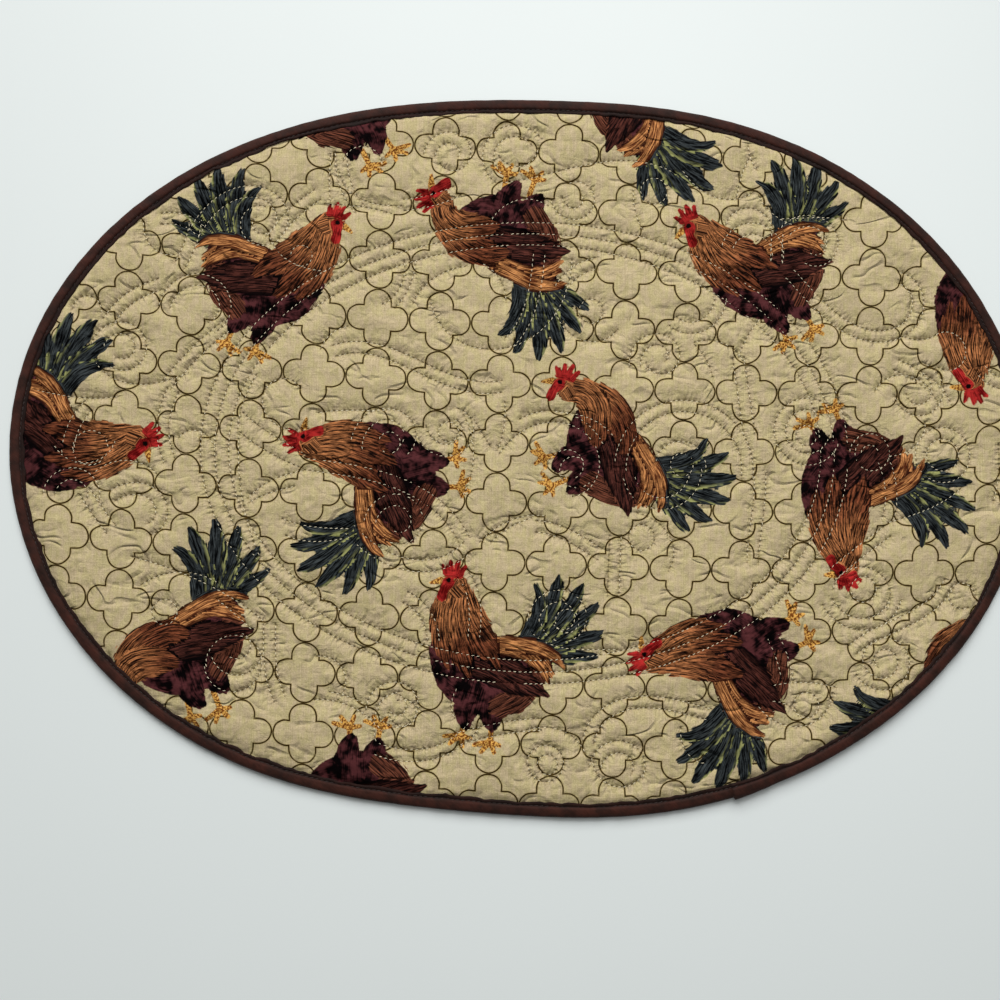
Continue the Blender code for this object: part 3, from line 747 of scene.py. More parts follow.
def hen_strokes(pose):
    """All strokes of a hen, as (layer, smooth run of points) in the order they are painted."""
    neck, head_place, head_turn, tip = HEN_POSES[pose]
    head = moved(HEAD_STROKES, head_place, head_turn)
    parts = [LEG_STROKES, moved(BODY_STROKES, turn=tip), neck, head]
    return [(layer, smooth_stroke(run)) for layer in HEN_LAYERS
            for part in parts for run in part.get(layer, ())]


def smooth_stroke(run):
    """A smooth run through the given x, y, half width rows."""
    rows = np.array(run, float)
    padded = np.vstack([2 * rows[0] - rows[1], rows, 2 * rows[-1] - rows[-2]])
    out = []
    for k in range(len(rows) - 1):
        a, b, c, d = padded[k:k + 4]
        for t in np.arange(STROKE_STEPS) / STROKE_STEPS:
            out.append(smooth_between(a, b, c, d, t))
    out.append(rows[-1])
    return np.array(out)


def along_stroke(run, points):
    """Distance outside a stroke, way along it and place across it, from -1 to 1 inside."""
    steps = np.hypot(*np.diff(run[:, :2], axis=0).T)
    starts = np.concatenate([[0], np.cumsum(steps)])
    best = np.full(len(points), 1e9)
    along = np.zeros(len(points))
    across = np.zeros(len(points))
    for k, step in enumerate(steps):
        way = (run[k + 1, :2] - run[k, :2]) / step
        offset = points - run[k, :2]
        ahead = offset @ way
        part = np.clip(ahead / step, 0, 1)
        rest = offset - part[:, None] * step * way
        wide = run[k, 2] + part * (run[k + 1, 2] - run[k, 2])
        away = np.hypot(*rest.T) - wide
        side = way[0] * offset[:, 1] - way[1] * offset[:, 0]
        nearer = away < best
        best = np.where(nearer, away, best)
        along = np.where(nearer, starts[k] + part * step, along)
        across = np.where(nearer, side / wide, across)
    return best, along, across


def hen_near(points, hen):
    """Which points of the cloth a hen reaches."""
    return np.nonzero(np.hypot(*(points - hen[1:3]).T) < HEN_REACH)[0]


def hen_local(points, hen):
    """Points of the cloth in a hen's own drawing."""
    _, x, y, turn, face = hen
    offset = points - (x, y)
    c, s = cos(radians(turn)), sin(radians(turn))
    return np.stack([(offset @ (c, s)) * face, offset @ (-s, c)], 1) / HEN_SIZE


def uppermost(strokes, points):
    """Number of the stroke that lies uppermost at each point, or -1 where none is near."""
    chosen = np.full(len(points), -1)
    nearest = np.full(len(points), STRAY_REACH)
    rank = np.full(len(points), -1)
    for k, (layer, run) in enumerate(strokes):
        away = along_stroke(run, points)[0]
        order = HEN_LAYERS.index(layer)
        over = (away < RAGGED_REACH) & ((order > rank) | (away < 0))
        take = over | ((rank < 0) & (away < nearest))
        chosen[take] = k
        nearest[take] = away[take]
        rank[over] = order
    return chosen


def paint_hens(mesh):
    """Print the hens: distance from each colour's strokes at every point of the cloth, and at
    every corner the way along and across the feather that lies uppermost there."""
    middles, owner, corners = corner_places(mesh)
    places = flat_places(mesh.vertices, "co")
    fields = {layer: np.full(len(places), FAR) for layer in HEN_LAYERS}
    plume = np.zeros((len(corners), 2))
    vane = np.zeros((len(corners), 2))
    first = np.searchsorted(owner, np.arange(len(middles)))
    sides = np.bincount(owner, minlength=len(middles))
    for number, hen in enumerate(HENS):
        strokes = hen_strokes(hen[0])
        near = hen_near(places, hen)
        local = hen_local(places[near], hen)
        for layer, run in strokes:
            away = along_stroke(run, local)[0]
            fields[layer][near] = np.minimum(fields[layer][near], away)
        near = hen_near(middles, hen)
        chosen = uppermost(strokes, hen_local(middles[near], hen))
        for k, (_, run) in enumerate(strokes):
            faces = near[chosen == k]
            if not len(faces):
                continue
            own = np.concatenate([np.arange(a, a + n) for a, n in zip(first[faces], sides[faces])])
            _, along, across = along_stroke(run, hen_local(corners[own], hen))
            wide = np.interp(along, np.linspace(0, max(along.max(), 1), len(run)), run[:, 2])
            start = STROKE_STRIDE * k + HEN_STRIDE * number
            plume[own] = np.stack([along + start, across * wide], 1)
            vane[own] = np.stack([across, along], 1)
    for layer, values in fields.items():
        attribute = mesh.attributes.new("hen_" + layer, "FLOAT", "POINT")
        attribute.data.foreach_set("value", values.astype(np.float32))
    set_map(mesh, "Plume", *plume.T)
    set_map(mesh, "Vane", *vane.T)


# --- making the cloth ------------------------------------------------------------------------
def add_object(name, data):
    obj = bpy.data.objects.new(name, data)
    bpy.context.scene.collection.objects.link(obj)
    return obj


def finish_piece(mesh, materials):
    """Put a mesh into the scene as a smooth piece of the mat."""
    for material in materials:
        mesh.materials.append(material)
    mesh.shade_smooth()
    piece = add_object(mesh.name, mesh)
    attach(piece, "root")
    return piece


def as_mesh(bm, name):
    mesh = bpy.data.meshes.new(name)
    bm.to_mesh(mesh)
    bm.free()
    return mesh


def make_cloth(printed, plain):
    """The quilted cloth: printed and puffed on top, plain and flat underneath, one closed piece."""
    bm = bmesh.new()
    top, points = oval_grid(bm, FACE_COLUMNS, FACE_ROWS, FACE_INSET)
    inward = np.array([rim_distance(x, y) for x, y in points])
    points, heights = cloth_heights(points, inward)
    hidden = inward < SLOT_INSET
    heights[hidden] = SLOT_HEIGHT
    for vert, (x, y), h, deep in zip(top, points, heights, inward):
        vert.co = (x * MM, y * MM, (h + lift(x, y, deep)) * MM)
    under, points = oval_grid(bm, FACE_COLUMNS // UNDER_SHARE, FACE_ROWS // UNDER_SHARE, FACE_INSET)
    for vert, (x, y) in zip(under, points):
        deep = rim_distance(x, y)
        foot = EDGE_UNDER * min(max((FOOT_INSET - deep) / (FOOT_INSET - SLOT_INSET), 0), 1)
        vert.co = (x * MM, y * MM, (foot + lift(x, y, deep)) * MM)
    lower = {f for v in under for f in v.link_faces}
    for face in lower:
        face.material_index = 1
    bmesh.ops.reverse_faces(bm, faces=list(lower))
    rest = [e for e in bm.edges if e.is_boundary]
    bmesh.ops.bridge_loops(bm, edges=rest)
    bmesh.ops.recalc_face_normals(bm, faces=bm.faces)
    cloth = finish_piece(as_mesh(bm, "quilted_cloth"), (printed, plain))
    seam_map(cloth.data)
    paint_hens(cloth.data)
    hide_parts("quilted_panel")
    return cloth


# --- folding the binding ---------------------------------------------------------------------
def smooth_section(rows, count):
    """A closed smooth curve through the rows, read at evenly spread steps."""
    table = np.array(rows)
    size = len(table)
    out = []
    for i in range(count):
        place = i / count * size
        k = int(place)
        t = place - k
        a, b, c, d = (table[(k + j) % size] for j in (-1, 0, 1, 2))
        out.append(smooth_between(a, b, c, d, t))
    return np.array(out)


def lap_growth(past):
    """How much the lapped end adds, a distance past its fold."""
    if past < 0 or past > LAP_LENGTH:
        return 0
    part = past / LAP_LENGTH
    return LAP_RISE * (1 - part * part * (3 - 2 * part))


def rim_turns(count):
    """Turns evenly spaced along the edge, and the way along it to each."""
    lengths = [0]
    for i in range(RIM_SAMPLES):
        lengths.append(lengths[-1] + (RAW[(i + 1) % RIM_SAMPLES] - RAW[i]).length)
    wanted = np.arange(count) / count * lengths[-1]
    return np.interp(wanted, lengths, np.arange(RIM_SAMPLES + 1) * 2 * pi / RIM_SAMPLES), wanted


def binding_top(inset, along):
    """Small unevenness of the folded strip: slanting puckers along its seam."""
    slant = noise.noise(((along + 1.1 * inset) / FOLD_PUCKERS[0], inset / 7, 5.5))
    slow = noise.noise((along / FOLD_SWELL[0], inset / 11, 1.5))
    return FOLD_PUCKERS[1] * slant + FOLD_SWELL[1] * slow


def lip_wave(inset, along):
    """How far the upper fold wanders in and out, most at its lip."""
    wave = noise.noise((along / 9, 2.5, 0.5)) + 0.8 * noise.noise((along / 3.4, 6.5, 0.5))
    return wave * (LIP_WAVE * (inset - LIP_FROM) / LIP_DEPTH)


def make_binding(material):
    fold = radians(LAP_TURN)
    reach = rim(fold).length
    turns, ways = rim_turns(BINDING_AROUND)
    nearest = int(np.argmin(np.abs(turns - fold)))
    turns[nearest - 1] = fold - LAP_EDGE / 2 / reach
    turns[nearest] = fold + LAP_EDGE / 2 / reach
    section = smooth_section(BINDING_SECTION, BINDING_ACROSS)
    bm = bmesh.new()
    bmesh.ops.create_grid(bm, x_segments=BINDING_AROUND, y_segments=BINDING_ACROSS, size=0.5)
    lip = bm.verts.layers.float.new("lip")
    for vert in bm.verts:
        i = round((vert.co.x + 0.5) * BINDING_AROUND) % BINDING_AROUND
        j = round((vert.co.y + 0.5) * BINDING_ACROSS) % BINDING_ACROSS
        inset, height, out, up = section[j]
        grow = lap_growth((turns[i] - fold) * reach)
        edge, inwards = rim_frame(turns[i])
        wave = lip_wave(inset, ways[i]) if inset > LIP_FROM and height > UPPER_FOLD else 0.0
        upper = min(max((height - 0.3) / 1.5, 0), 1) if height > 0.3 and inset < 6.6 else 0
        x, y = edge + inwards * (inset - out * grow + wave)
        z = height + up * grow + lift(x, y, max(inset, 0))
        z += upper * (1 if up > 0 else 0) * binding_top(inset, ways[i])
        vert[lip] = inset if height > UPPER_FOLD else 0
        vert.co = (x * MM, y * MM, z * MM)
    bmesh.ops.remove_doubles(bm, verts=bm.verts, dist=0.000001)
    bmesh.ops.recalc_face_normals(bm, faces=bm.faces)
    binding = finish_piece(as_mesh(bm, "folded_binding"), (material,))
    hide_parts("binding")
    return binding


# --- sewing ----------------------------------------------------------------------------------
def thread_shape():
    """One stitch: a short smooth spindle of thread along X."""
    bm = bmesh.new()
    bmesh.ops.create_uvsphere(bm, u_segments=6, v_segments=4, radius=0.5)
    bmesh.ops.rotate(bm, verts=bm.verts, cent=(0, 0, 0), matrix=Matrix.Rotation(pi / 2, 3, "Y"))
    for vert in bm.verts:
        vert.co.z -= 0.6 * vert.co.x ** 2
    bmesh.ops.recalc_face_normals(bm, faces=bm.faces)
    verts = np.array([v.co for v in bm.verts])
    faces = [[v.index for v in f.verts] for f in bm.faces]
    bm.free()
    return verts, faces


def joined_stitches(name, places, ways, heights, sizes, material):
    """All the stitches of one thread as one mesh, each a copy of the same shape."""
    shape, faces = thread_shape()
    count = len(places)
    spread = np.random.default_rng(11).normal(size=(count, 3))
    turns = np.arctan2(ways[:, 1], ways[:, 0]) + radians(STITCH_SLANT)
    turns += radians(STITCH_SPREAD) * spread[:, 0]
    scale = np.array(sizes) * (1 + STITCH_UNEVEN * spread)
    local = shape[None] * scale[:, None]
    cosines, sines = np.cos(turns)[:, None], np.sin(turns)[:, None]
    x = local[..., 0] * cosines - local[..., 1] * sines + places[:, :1]
    y = local[..., 0] * sines + local[..., 1] * cosines + places[:, 1:]
    z = local[..., 2] + heights[:, None]
    verts = np.stack([x, y, z], -1).reshape(-1, 3) * MM
    size = len(shape)
    all_faces = [[v + k * size for v in face] for k in range(count) for face in faces]
    mesh = bpy.data.meshes.new(name)
    mesh.from_pydata(verts.tolist(), [], all_faces)
    return finish_piece(mesh, (material,))


def make_quilting_thread(material):
    places, ways = [], []
    for run in SEAMS.lines:
        steps = np.hypot(*np.diff(run, axis=0).T)
        along = np.concatenate([[0], np.cumsum(steps)])
        middles = np.arange(STITCH_PITCH / 2, along[-1], STITCH_PITCH)
        x = np.interp(middles, along, run[:, 0])
        y = np.interp(middles, along, run[:, 1])
        ahead = middles + 0.5
        next_x = np.interp(ahead, along, run[:, 0])
        next_y = np.interp(ahead, along, run[:, 1])
        way = np.stack([next_x - x, next_y - y], 1)
        way[np.hypot(*way.T) < 1e-6] = (1, 0)
        places.append(np.stack([x, y], 1))
        ways.append(way)
    places, ways = np.concatenate(places), np.concatenate(ways)
    inward = np.array([rim_distance(x, y) for x, y in places])
    heights = np.array([STITCHED_HEIGHT + lift(x, y, d) for (x, y), d in zip(places, inward)])
    return joined_stitches("quilting_thread", places, ways, heights + STITCH_LOFT,
                           QUILTING_STITCH, material)


def make_edge_thread(material):
    count = int(rim_turns(1000)[1][-1] * 1.001 / STITCH_PITCH)
    turns, ways_along = rim_turns(count)
    places, ways, heights = [], [], []
    for turn, along in zip(turns, ways_along):
        edge, inwards = rim_frame(turn)
        x, y = edge + inwards * EDGE_SEAM_INSET
        places.append((x, y))
        ways.append((-inwards.y, inwards.x))
        past = (turn - radians(LAP_TURN)) * rim(turn).length
        heights.append(EDGE_SEAM_HEIGHT + lift(x, y, EDGE_SEAM_INSET) + lap_growth(past))
    return joined_stitches("edge_thread", np.array(places), np.array(ways), np.array(heights),
                           EDGE_STITCH, material)


# --- materials -------------------------------------------------------------------------------
class Value:
    """A socket on which sums are written as on numbers; each adds its Math node."""

    def __init__(self, tree, socket):
        self.tree = tree
        self.socket = socket

    def math(self, operation, *terms):
        node = self.tree.nodes.new("ShaderNodeMath")
        node.operation = operation
        for place, term in zip(node.inputs, terms):
            if isinstance(term, Value):
                self.tree.links.new(term.socket, place)
            else:
                place.default_value = term
        return Value(self.tree, node.outputs[0])

    def __add__(self, other):
        return self.math("ADD", self, other)

    __radd__ = __add__

    def __sub__(self, other):
        return self.math("SUBTRACT", self, other)

    def __rsub__(self, other):
        return self.math("SUBTRACT", other, self)

    def __mul__(self, other):
        return self.math("MULTIPLY", self, other)

    __rmul__ = __mul__

    def __truediv__(self, other):
        return self.math("DIVIDE", self, other)

    def __abs__(self):
        return self.math("ABSOLUTE", self)

    def __pow__(self, other):
        return self.math("POWER", self, other)

    def low(self, other):
        return self.math("MINIMUM", self, other)

    def high(self, other):
        return self.math("MAXIMUM", self, other)

    def falling(self, reach):
        """1 at zero, dying away over the reach."""
        return self.math("EXPONENT", self * (-1 / reach))


class Finish:
    """A material being built: its Principled shader and short ways to add nodes."""

    def __init__(self, name, roughness, **uniform):
        self.material = bpy.data.materials.new(name)
        self.material.use_nodes = True
        self.tree = self.material.node_tree
        self.shader = self.tree.nodes["Principled BSDF"]
        self.shader.inputs["Roughness"].default_value = roughness
        for socket, value in uniform.items():
            self.shader.inputs[socket.replace("_", " ")].default_value = value

    def node(self, kind, settings=None, inputs=None):
        node = self.tree.nodes.new("ShaderNode" + kind)
        for key, value in (settings or {}).items():
            setattr(node, key, value)
        for key, value in (inputs or {}).items():
            if isinstance(value, Value):
                self.tree.links.new(value.socket, node.inputs[key])
            else:
                node.inputs[key].default_value = value
        return node

    def value(self, socket):
        return Value(self.tree, socket)

    def place(self):
        """Object coordinates in millimetres."""
        node = self.node("TexCoord")
        scaled = self.node("VectorMath", {"operation": "SCALE"},
                           {0: self.value(node.outputs["Object"]), "Scale": 1 / MM})
        return self.value(scaled.outputs[0])

    def map(self, name):
        node = self.node("UVMap", {"uv_map": name})
        return self.value(node.outputs[0])

    def field(self, name):
        node = self.node("Attribute", {"attribute_name": name})
        return self.value(node.outputs["Fac"])

    def split(self, vector):
        node = self.node("SeparateXYZ", inputs={0: vector})
        return [self.value(out) for out in node.outputs]

    def join(self, x, y=0.0, z=0.0):
        node = self.node("CombineXYZ", inputs={0: x, 1: y, 2: z})
        return self.value(node.outputs[0])

    def stretch(self, vector, x, y, z=1.0):
        node = self.node("VectorMath", {"operation": "MULTIPLY"}, {0: vector, 1: (x, y, z)})
        return self.value(node.outputs[0])

    def noise(self, vector, size=1.0, detail=2.0, rough=0.5, warp=0.0, space="3D"):
        node = self.node("TexNoise", {"noise_dimensions": space}, {
            "Vector": vector, "Scale": 1 / size, "Detail": detail,
            "Roughness": rough, "Distortion": warp})
        return self.value(node.outputs[0])

    def noise2(self, vector, *sizes):
        """Noise on a flat pattern: only the first two coordinates count."""
        return self.noise(vector, *sizes, space="2D")

    def smooth(self, value, start, end, low=0.0, high=1.0):
        node = self.node("MapRange", {"interpolation_type": "SMOOTHSTEP", "clamp": True}, {
            "Value": value, "From Min": start, "From Max": end, "To Min": low, "To Max": high})
        return self.value(node.outputs[0])

    def mix(self, factor, one, other):
        """The first colour where the factor is 0, the second where it is 1."""
        node = self.node("Mix", {"data_type": "RGBA", "clamp_factor": True})
        for place, term in ((0, factor), (6, one), (7, other)):
            if isinstance(term, Value):
                self.tree.links.new(term.socket, node.inputs[place])
            elif place:
                node.inputs[place].default_value = (*term, 1)
            else:
                node.inputs[place].default_value = term
        return self.value(node.outputs[2])

    def shade(self, colour, factor):
        """The colour made lighter or darker by a factor."""
        node = self.node("VectorMath", {"operation": "SCALE"}, {0: colour, "Scale": factor})
        return self.value(node.outputs[0])

    def colour(self, value):
        self.tree.links.new(value.socket, self.shader.inputs["Base Color"])

    def rough(self, value):
        self.tree.links.new(value.socket, self.shader.inputs["Roughness"])

    def raise_by(self, height, strength=1.0):
        """A bump from a height in millimetres."""
        node = self.node("Bump", inputs={"Height": height, "Distance": MM, "Strength": strength})
        self.tree.links.new(node.outputs[0], self.shader.inputs["Normal"])


def linear(red, green, blue):
    """A colour given as it looks on a screen, 0 to 255, as the shader wants it."""
    return tuple(((c / 255 + 0.055) / 1.055) ** 2.4 if c > 10 else c / 255 / 12.92
                 for c in (red, green, blue))


def darkened(colour, share):
    return tuple(share * c for c in colour)


# The ground's two colours and what its threads add, then the painted shade in the dips at the stitches,
# and the printed ring's paler edge and line.
YELLOWER = (0.492, 0.416, 0.222)
PINKER = (0.503, 0.409, 0.250)
THREAD_TINT = (0.50, 0.44, 0.32)
THREAD_SHOWS = 0.27
# Painted shade: the colour of the shaded dips at the stitches.
SEAM_SHADE_COLOUR = linear(104, 80, 34)
STAIN = linear(158, 134, 62)
INK = linear(48, 34, 5)

# Printed lattice of four-lobed rings: steps and directions of its columns and rows, one
# crossing, and the two rounded bars whose joined outline is one ring.
LATTICE_COLUMN = (27.61, -1.73)
LATTICE_ROW = (26.58, 88.87)
LATTICE_START = (-206.0, 9.4)
LATTICE_WIDE = (26.9, 11.1)
LATTICE_TALL = (11.8, 26.0)
# How far the cloth is drawn out of true, sideways and upwards, as shares of across squared,
# across times up, and up squared, these in decimetres.
LATTICE_BOW = (
    (-0.2, -1.2, 0.0),
    (-1.0, -0.2, -0.4),
)
LATTICE_LINE = 0.34           # half width of the printed line, its soft edge and its stain
LATTICE_SOFT = 0.13
LATTICE_HALO = 0.45
LATTICE_DRIFT = 0.35          # how far it wanders, over bumps of these sizes
LATTICE_DRIFT_SIZES = (8.0, 6.5)
DECIMETRE = 100


def weave(f, place):
    """Uneven threads of the plain weave, as lighter and darker hairs both ways, about 0."""
    across = f.noise2(f.stretch(place, 0.09, 2.1), 1.0, 2.0, 0.6) - 0.5
    upward = f.noise2(f.stretch(place, 1.9, 0.07), 1.0, 2.0, 0.6) - 0.5
    grain = f.noise2(place, 0.55, 1.0, 0.6) - 0.5
    return across * 0.9 + upward * 1.1 + grain * 1.5


def lattice_line(f, place):
    """How strongly the printed ring inks the cloth at a place, and the paler stain beside it."""
    x, y, _ = f.split(place)
    u, v = x / DECIMETRE, y / DECIMETRE
    moved_place = []
    for way, start, (squared, crossed, upward), size in zip(
            (x, y), LATTICE_START, LATTICE_BOW, LATTICE_DRIFT_SIZES):
        drift = f.noise2(place, size, 1.0, 0.5) + f.noise2(place, size * 4, 1.0, 0.5) - 1.0
        bow = u * u * squared + u * v * crossed + v * v * upward
        moved_place.append(way + bow + drift * (2 * LATTICE_DRIFT) - start)
    x, y = moved_place
    column, row = (Vector((step * cos(radians(turn)), step * sin(radians(turn))))
                   for step, turn in (LATTICE_COLUMN, LATTICE_ROW))
    area = column.x * row.y - column.y * row.x
    a = x * (row.y / area) - y * (row.x / area)
    b = y * (column.x / area) - x * (column.y / area)
    a = abs(a - a.math("ROUND", a)) * LATTICE_COLUMN[0]
    b = abs(b - b.math("ROUND", b)) * LATTICE_ROW[0]
    rings = []
    for wide, tall in (LATTICE_WIDE, LATTICE_TALL):
        end = min(wide, tall) / 2
        if wide > tall:
            p, q = (a - (wide / 2 - end)).high(0), b
        else:
            p, q = a, (b - (tall / 2 - end)).high(0)
        rings.append((p * p + q * q) ** 0.5 - end)
    line = abs(rings[0].low(rings[1]))
    core = f.smooth(line, LATTICE_LINE - LATTICE_SOFT, LATTICE_LINE + LATTICE_SOFT, 1.0, 0.0)
    halo = f.smooth(line, LATTICE_LINE, LATTICE_LINE + LATTICE_HALO, 1.0, 0.0)
    return core, halo


def seam_relief(f, along, aside, place):
    """Fine relief of the cloth, with needle pulls and short gathers beside the stitches, and how
    strongly painted shade darkens its dips at the needle holes and along the stitches."""
    away = abs(aside)
    hole = abs(along - along.math("ROUND", along)) * STITCH_PITCH
    spot = (away * away * 1.3 + hole * hole).falling(0.12)
    bulge = hole * away.falling(0.75) * 0.48 - away.falling(0.42) * 0.5
    gathers = f.noise2(f.join(along * STITCH_PITCH, aside * 0.35), 1.5, 1.0, 0.5) - 0.5
    puckers = gathers * away.falling(2.0) * 1.35
    crumple = f.noise2(place, 4.6, 2.0, 0.5, 0.4) - 0.5
    slanting = f.noise2(f.stretch(place, 0.8, 0.5), 5.2, 1.0, 0.45, 0.8) - 0.5
    folds = crumple * (away.falling(5.0) * 0.9 + 0.45) + slanting * 0.5
    ridge = f.noise2(f.stretch(place, 0.62, 1.0), 12.0, 1.0, 0.5, 0.5) - 0.5
    where = f.noise2(f.stretch(place, -1.0, 1.0), 15.0, 1.0, 0.5)
    crease = (1 - abs(ridge) * 11).high(0.0) * f.smooth(where, 0.46, 0.62)
    height = puckers + bulge - spot * 0.2 + folds - crease * 0.75
    # The second value is painted shade: dark dots at the needle holes and a dark line in each groove.
    return height, spot * 0.2 + away.falling(0.38) * 0.42


def hen_colours(f, ground):
    """The hens painted over the ground, one colour of strokes over another."""
    plume = f.map("Plume")
    across, along, _ = f.split(f.map("Vane"))
    hair = f.noise2(f.stretch(plume, 0.13, 1.8), 1.0, 3.0, 0.62)
    tuft = f.noise2(f.stretch(plume, 0.16, 0.75, 1.0), 1.0, 1.0, 0.5)
    cloud = f.noise2(f.place(), 6.0, 2.0, 0.6)
    stipple = f.noise2(plume, 0.9, 1.0, 0.6)
    fine = f.smooth(hair, 0.36, 0.74)
    rim = f.smooth(abs(across), 0.55, 0.98)
    feather = f.mix(fine, linear(24, 9, 7), linear(206, 134, 84))
    dark = f.mix(f.smooth(hair * 0.6 + cloud * 1.4, 0.82, 1.25), linear(6, 3, 4), linear(82, 42, 44))
    slate = f.mix(fine, linear(2, 3, 4), linear(64, 70, 72))
    # For each colour: its name, how ragged its edge is in millimetres, and its paint.
    layers = (
        ("gold", 0.10, f.mix(f.smooth(stipple, 0.40, 0.62), linear(112, 62, 22), linear(214, 164, 84))),
        ("tail", 0.9, f.mix(f.smooth(across, 0.35, 0.95) * f.smooth(tuft, 0.45, 0.62), slate,
                            linear(150, 152, 96))),
        ("coat", 0.7, dark),
        ("down", 1.5, f.mix(fine, linear(20, 9, 8), linear(124, 72, 54))),
        ("wing", 0.8, f.mix(rim, f.mix(fine, linear(10, 5, 6), linear(92, 50, 42)), linear(6, 3, 4))),
        ("saddle", 1.1, f.mix(rim, f.mix(fine, linear(74, 32, 16), linear(224, 156, 96)),
                              linear(48, 20, 12))),
        ("cape", 1.2, f.mix(f.smooth(along + cloud * 14, 20.0, 38.0), feather,
                            f.mix(fine, linear(10, 5, 5), linear(136, 76, 50)))),
        ("red", 0.35, f.mix(f.smooth(cloud + hair, 0.75, 1.25), linear(84, 8, 8), linear(176, 44, 42))),
        ("eye", 0.0, linear(12, 6, 5)),
    )
    colour = ground
    for name, ragged, paint in layers:
        edge = f.field("hen_" + name) + (tuft - 0.5) * (2.4 * ragged)
        colour = f.mix(f.smooth(edge, -0.22, 0.22, 1.0, 0.0), colour, paint)
    return colour


def beige_cloth(f, place, threads):
    """The bare ground: threads lighter and darker, and patches that lean to yellow or to pink."""
    patches = f.smooth(f.noise2(f.stretch(place, 0.8, 0.4), 2.4, 2.0, 0.5), 0.35, 0.65)
    ground = f.mix(patches, YELLOWER, PINKER)
    lighter = f.shade(THREAD_TINT, threads * THREAD_SHOWS)
    both = f.node("VectorMath", {"operation": "ADD"}, {0: ground, 1: lighter})
    return f.value(both.outputs[0])


def printed_cloth():
    f = Finish("printed_cotton", 0.9, Specular_IOR_Level=0.03)
    place = f.place()
    along, aside, _ = f.split(f.map("Seam"))
    threads = weave(f, place)
    ground = beige_cloth(f, place, threads)
    faded = f.noise2(place, 2.3, 2.0, 0.6)
    core, halo = lattice_line(f, place)
    ground = f.mix(halo * 0.38, ground, STAIN)
    ground = f.mix(core * f.smooth(faded, 0.2, 0.5, 0.75, 1.0), ground, INK)
    height, seam_shade = seam_relief(f, along, aside, place)
    # Painted shade darkens the ground in the dips at the needle holes and beside the stitches.
    ground = f.mix(seam_shade, ground, SEAM_SHADE_COLOUR)
    f.colour(f.shade(hen_colours(f, ground), threads * 0.08 + 1.0))
    f.raise_by(height + threads * 0.05)
    return f.material


def plain_cloth():
    f = Finish("plain_cotton", 0.9, Specular_IOR_Level=0.03)
    place = f.place()
    along, aside, _ = f.split(f.map("Seam"))
    threads = weave(f, place)
    height, seam_shade = seam_relief(f, along, aside, place)
    # Painted shade darkens the underside in the dips at the needle holes and beside the stitches.
    f.colour(f.mix(seam_shade, beige_cloth(f, place, threads), SEAM_SHADE_COLOUR))
    f.raise_by(height + threads * 0.05 - abs(aside).falling(1.2) * 0.6)
    return f.material


def binding_cloth():
    f = Finish("binding_cotton", 0.62, Sheen_Weight=0.04, Sheen_Roughness=0.5, Specular_IOR_Level=0.15)
    place = f.place()
    x, y, _ = f.split(place)
    twill = f.noise2(f.join(x + y, (x - y) * 0.08), 0.42, 1.0, 0.5) - 0.5
    cloud = f.noise(place, 7.0, 3.0, 0.6)
    brown = f.mix(f.smooth(cloud, 0.3, 0.7), linear(38, 20, 14), linear(62, 31, 23))
    # Painted shade, darker from the seam in to the lip, where the strip turns down.
    darker = f.smooth(f.field("lip"), 4.3, 4.8, 1.0, 0.42)
    f.colour(f.shade(brown, (twill * 0.9 + 1.0) * darker))
    f.rough(cloud * 0.2 + 0.6)
    f.raise_by(twill * 0.12 + f.noise(place, 2.2, 2.0) * 0.12)
    return f.material


def thread_cotton(name, colour, roughness, spread):
    f = Finish(name, roughness, Sheen_Weight=0.2, Specular_IOR_Level=0.4)
    place = f.place()
    fuzz = f.noise(place, 0.35, 2.0, 0.6)
    length_tint = f.mix(f.noise(place, 12.0, 1.0), colour, darkened(colour, 0.86))
    f.colour(f.shade(length_tint, fuzz * spread + (1 - spread / 2)))
    f.raise_by(fuzz * 0.06)
    return f.material


# --- studio ----------------------------------------------------------------------------------
# Metres and watts.
FLOOR_COLOUR = (0.785, 0.845, 0.85)
FLOOR_HALF = 9
FLOOR_HEIGHT = -0.0002
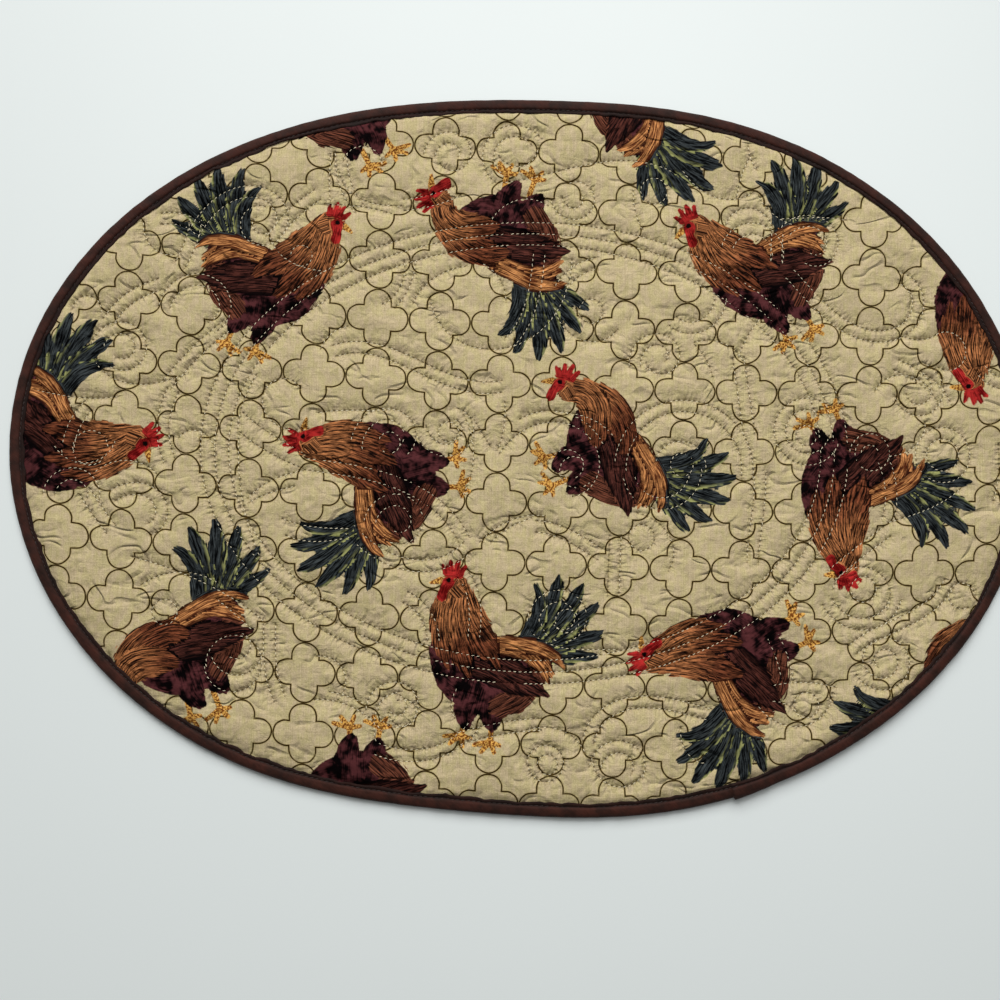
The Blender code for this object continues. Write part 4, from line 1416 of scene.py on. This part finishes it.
# Lights: name, place, size, power, colour; all look at the middle of the mat.
LIGHTS = (
    ("window_light", (-0.4, 2.9, 2.2), (3.3, 2.0), 153.0, (1.0, 0.99, 0.97)),
    ("ceiling_light", (0.06, 0.15, 0.5), (0.3, 0.3), 0.8, (1.0, 0.985, 0.96)),
)
WORLD_COLOUR = (1.0, 0.985, 0.96)
WORLD_STRENGTH = 0.16


def add_camera():
    data = bpy.data.cameras.new("camera")
    data.lens = CAMERA_LENS
    data.sensor_width = CAMERA_SENSOR
    data.clip_start = 0.01
    camera = add_object("camera", data)
    camera.location = CAMERA_PLACE
    camera.rotation_euler = Euler([radians(a) for a in CAMERA_TURN])
    bpy.context.scene.camera = camera


def add_floor():
    bm = bmesh.new()
    bmesh.ops.create_grid(bm, x_segments=1, y_segments=1, size=FLOOR_HALF)
    mesh = as_mesh(bm, "table_top")
    floor = add_object("table_top", mesh)
    floor.location.z = FLOOR_HEIGHT
    f = Finish("pale_laminate", 0.55, Specular_IOR_Level=0.3)
    place = f.place()
    f.colour(f.mix(f.noise2(place, 180.0, 2.0), FLOOR_COLOUR, darkened(FLOOR_COLOUR, 0.985)))
    mesh.materials.append(f.material)


def add_lights():
    for name, place, size, power, colour in LIGHTS:
        data = bpy.data.lights.new(name, "AREA")
        data.shape = "RECTANGLE"
        data.size, data.size_y = size
        data.energy = power
        data.color = colour
        light = add_object(name, data)
        light.location = place
        light.rotation_euler = (-Vector(place)).to_track_quat("-Z", "Y").to_euler()
    world = bpy.data.worlds.new("room")
    world.use_nodes = True
    background = world.node_tree.nodes["Background"]
    background.inputs["Color"].default_value = (*WORLD_COLOUR, 1)
    background.inputs["Strength"].default_value = WORLD_STRENGTH
    bpy.context.scene.world = world
    bpy.context.scene.view_settings.view_transform = "Standard"


def main():
    add_camera()
    add_floor()
    add_lights()
    cloth = make_cloth(printed_cloth(), plain_cloth())
    binding = make_binding(binding_cloth())
    cream = thread_cotton("cream_thread", linear(234, 224, 192), 0.6, 0.2)
    brown = thread_cotton("brown_thread", linear(40, 22, 16), 0.6, 0.3)
    quilting = make_quilting_thread(cream)
    edging = make_edge_thread(brown)


main()
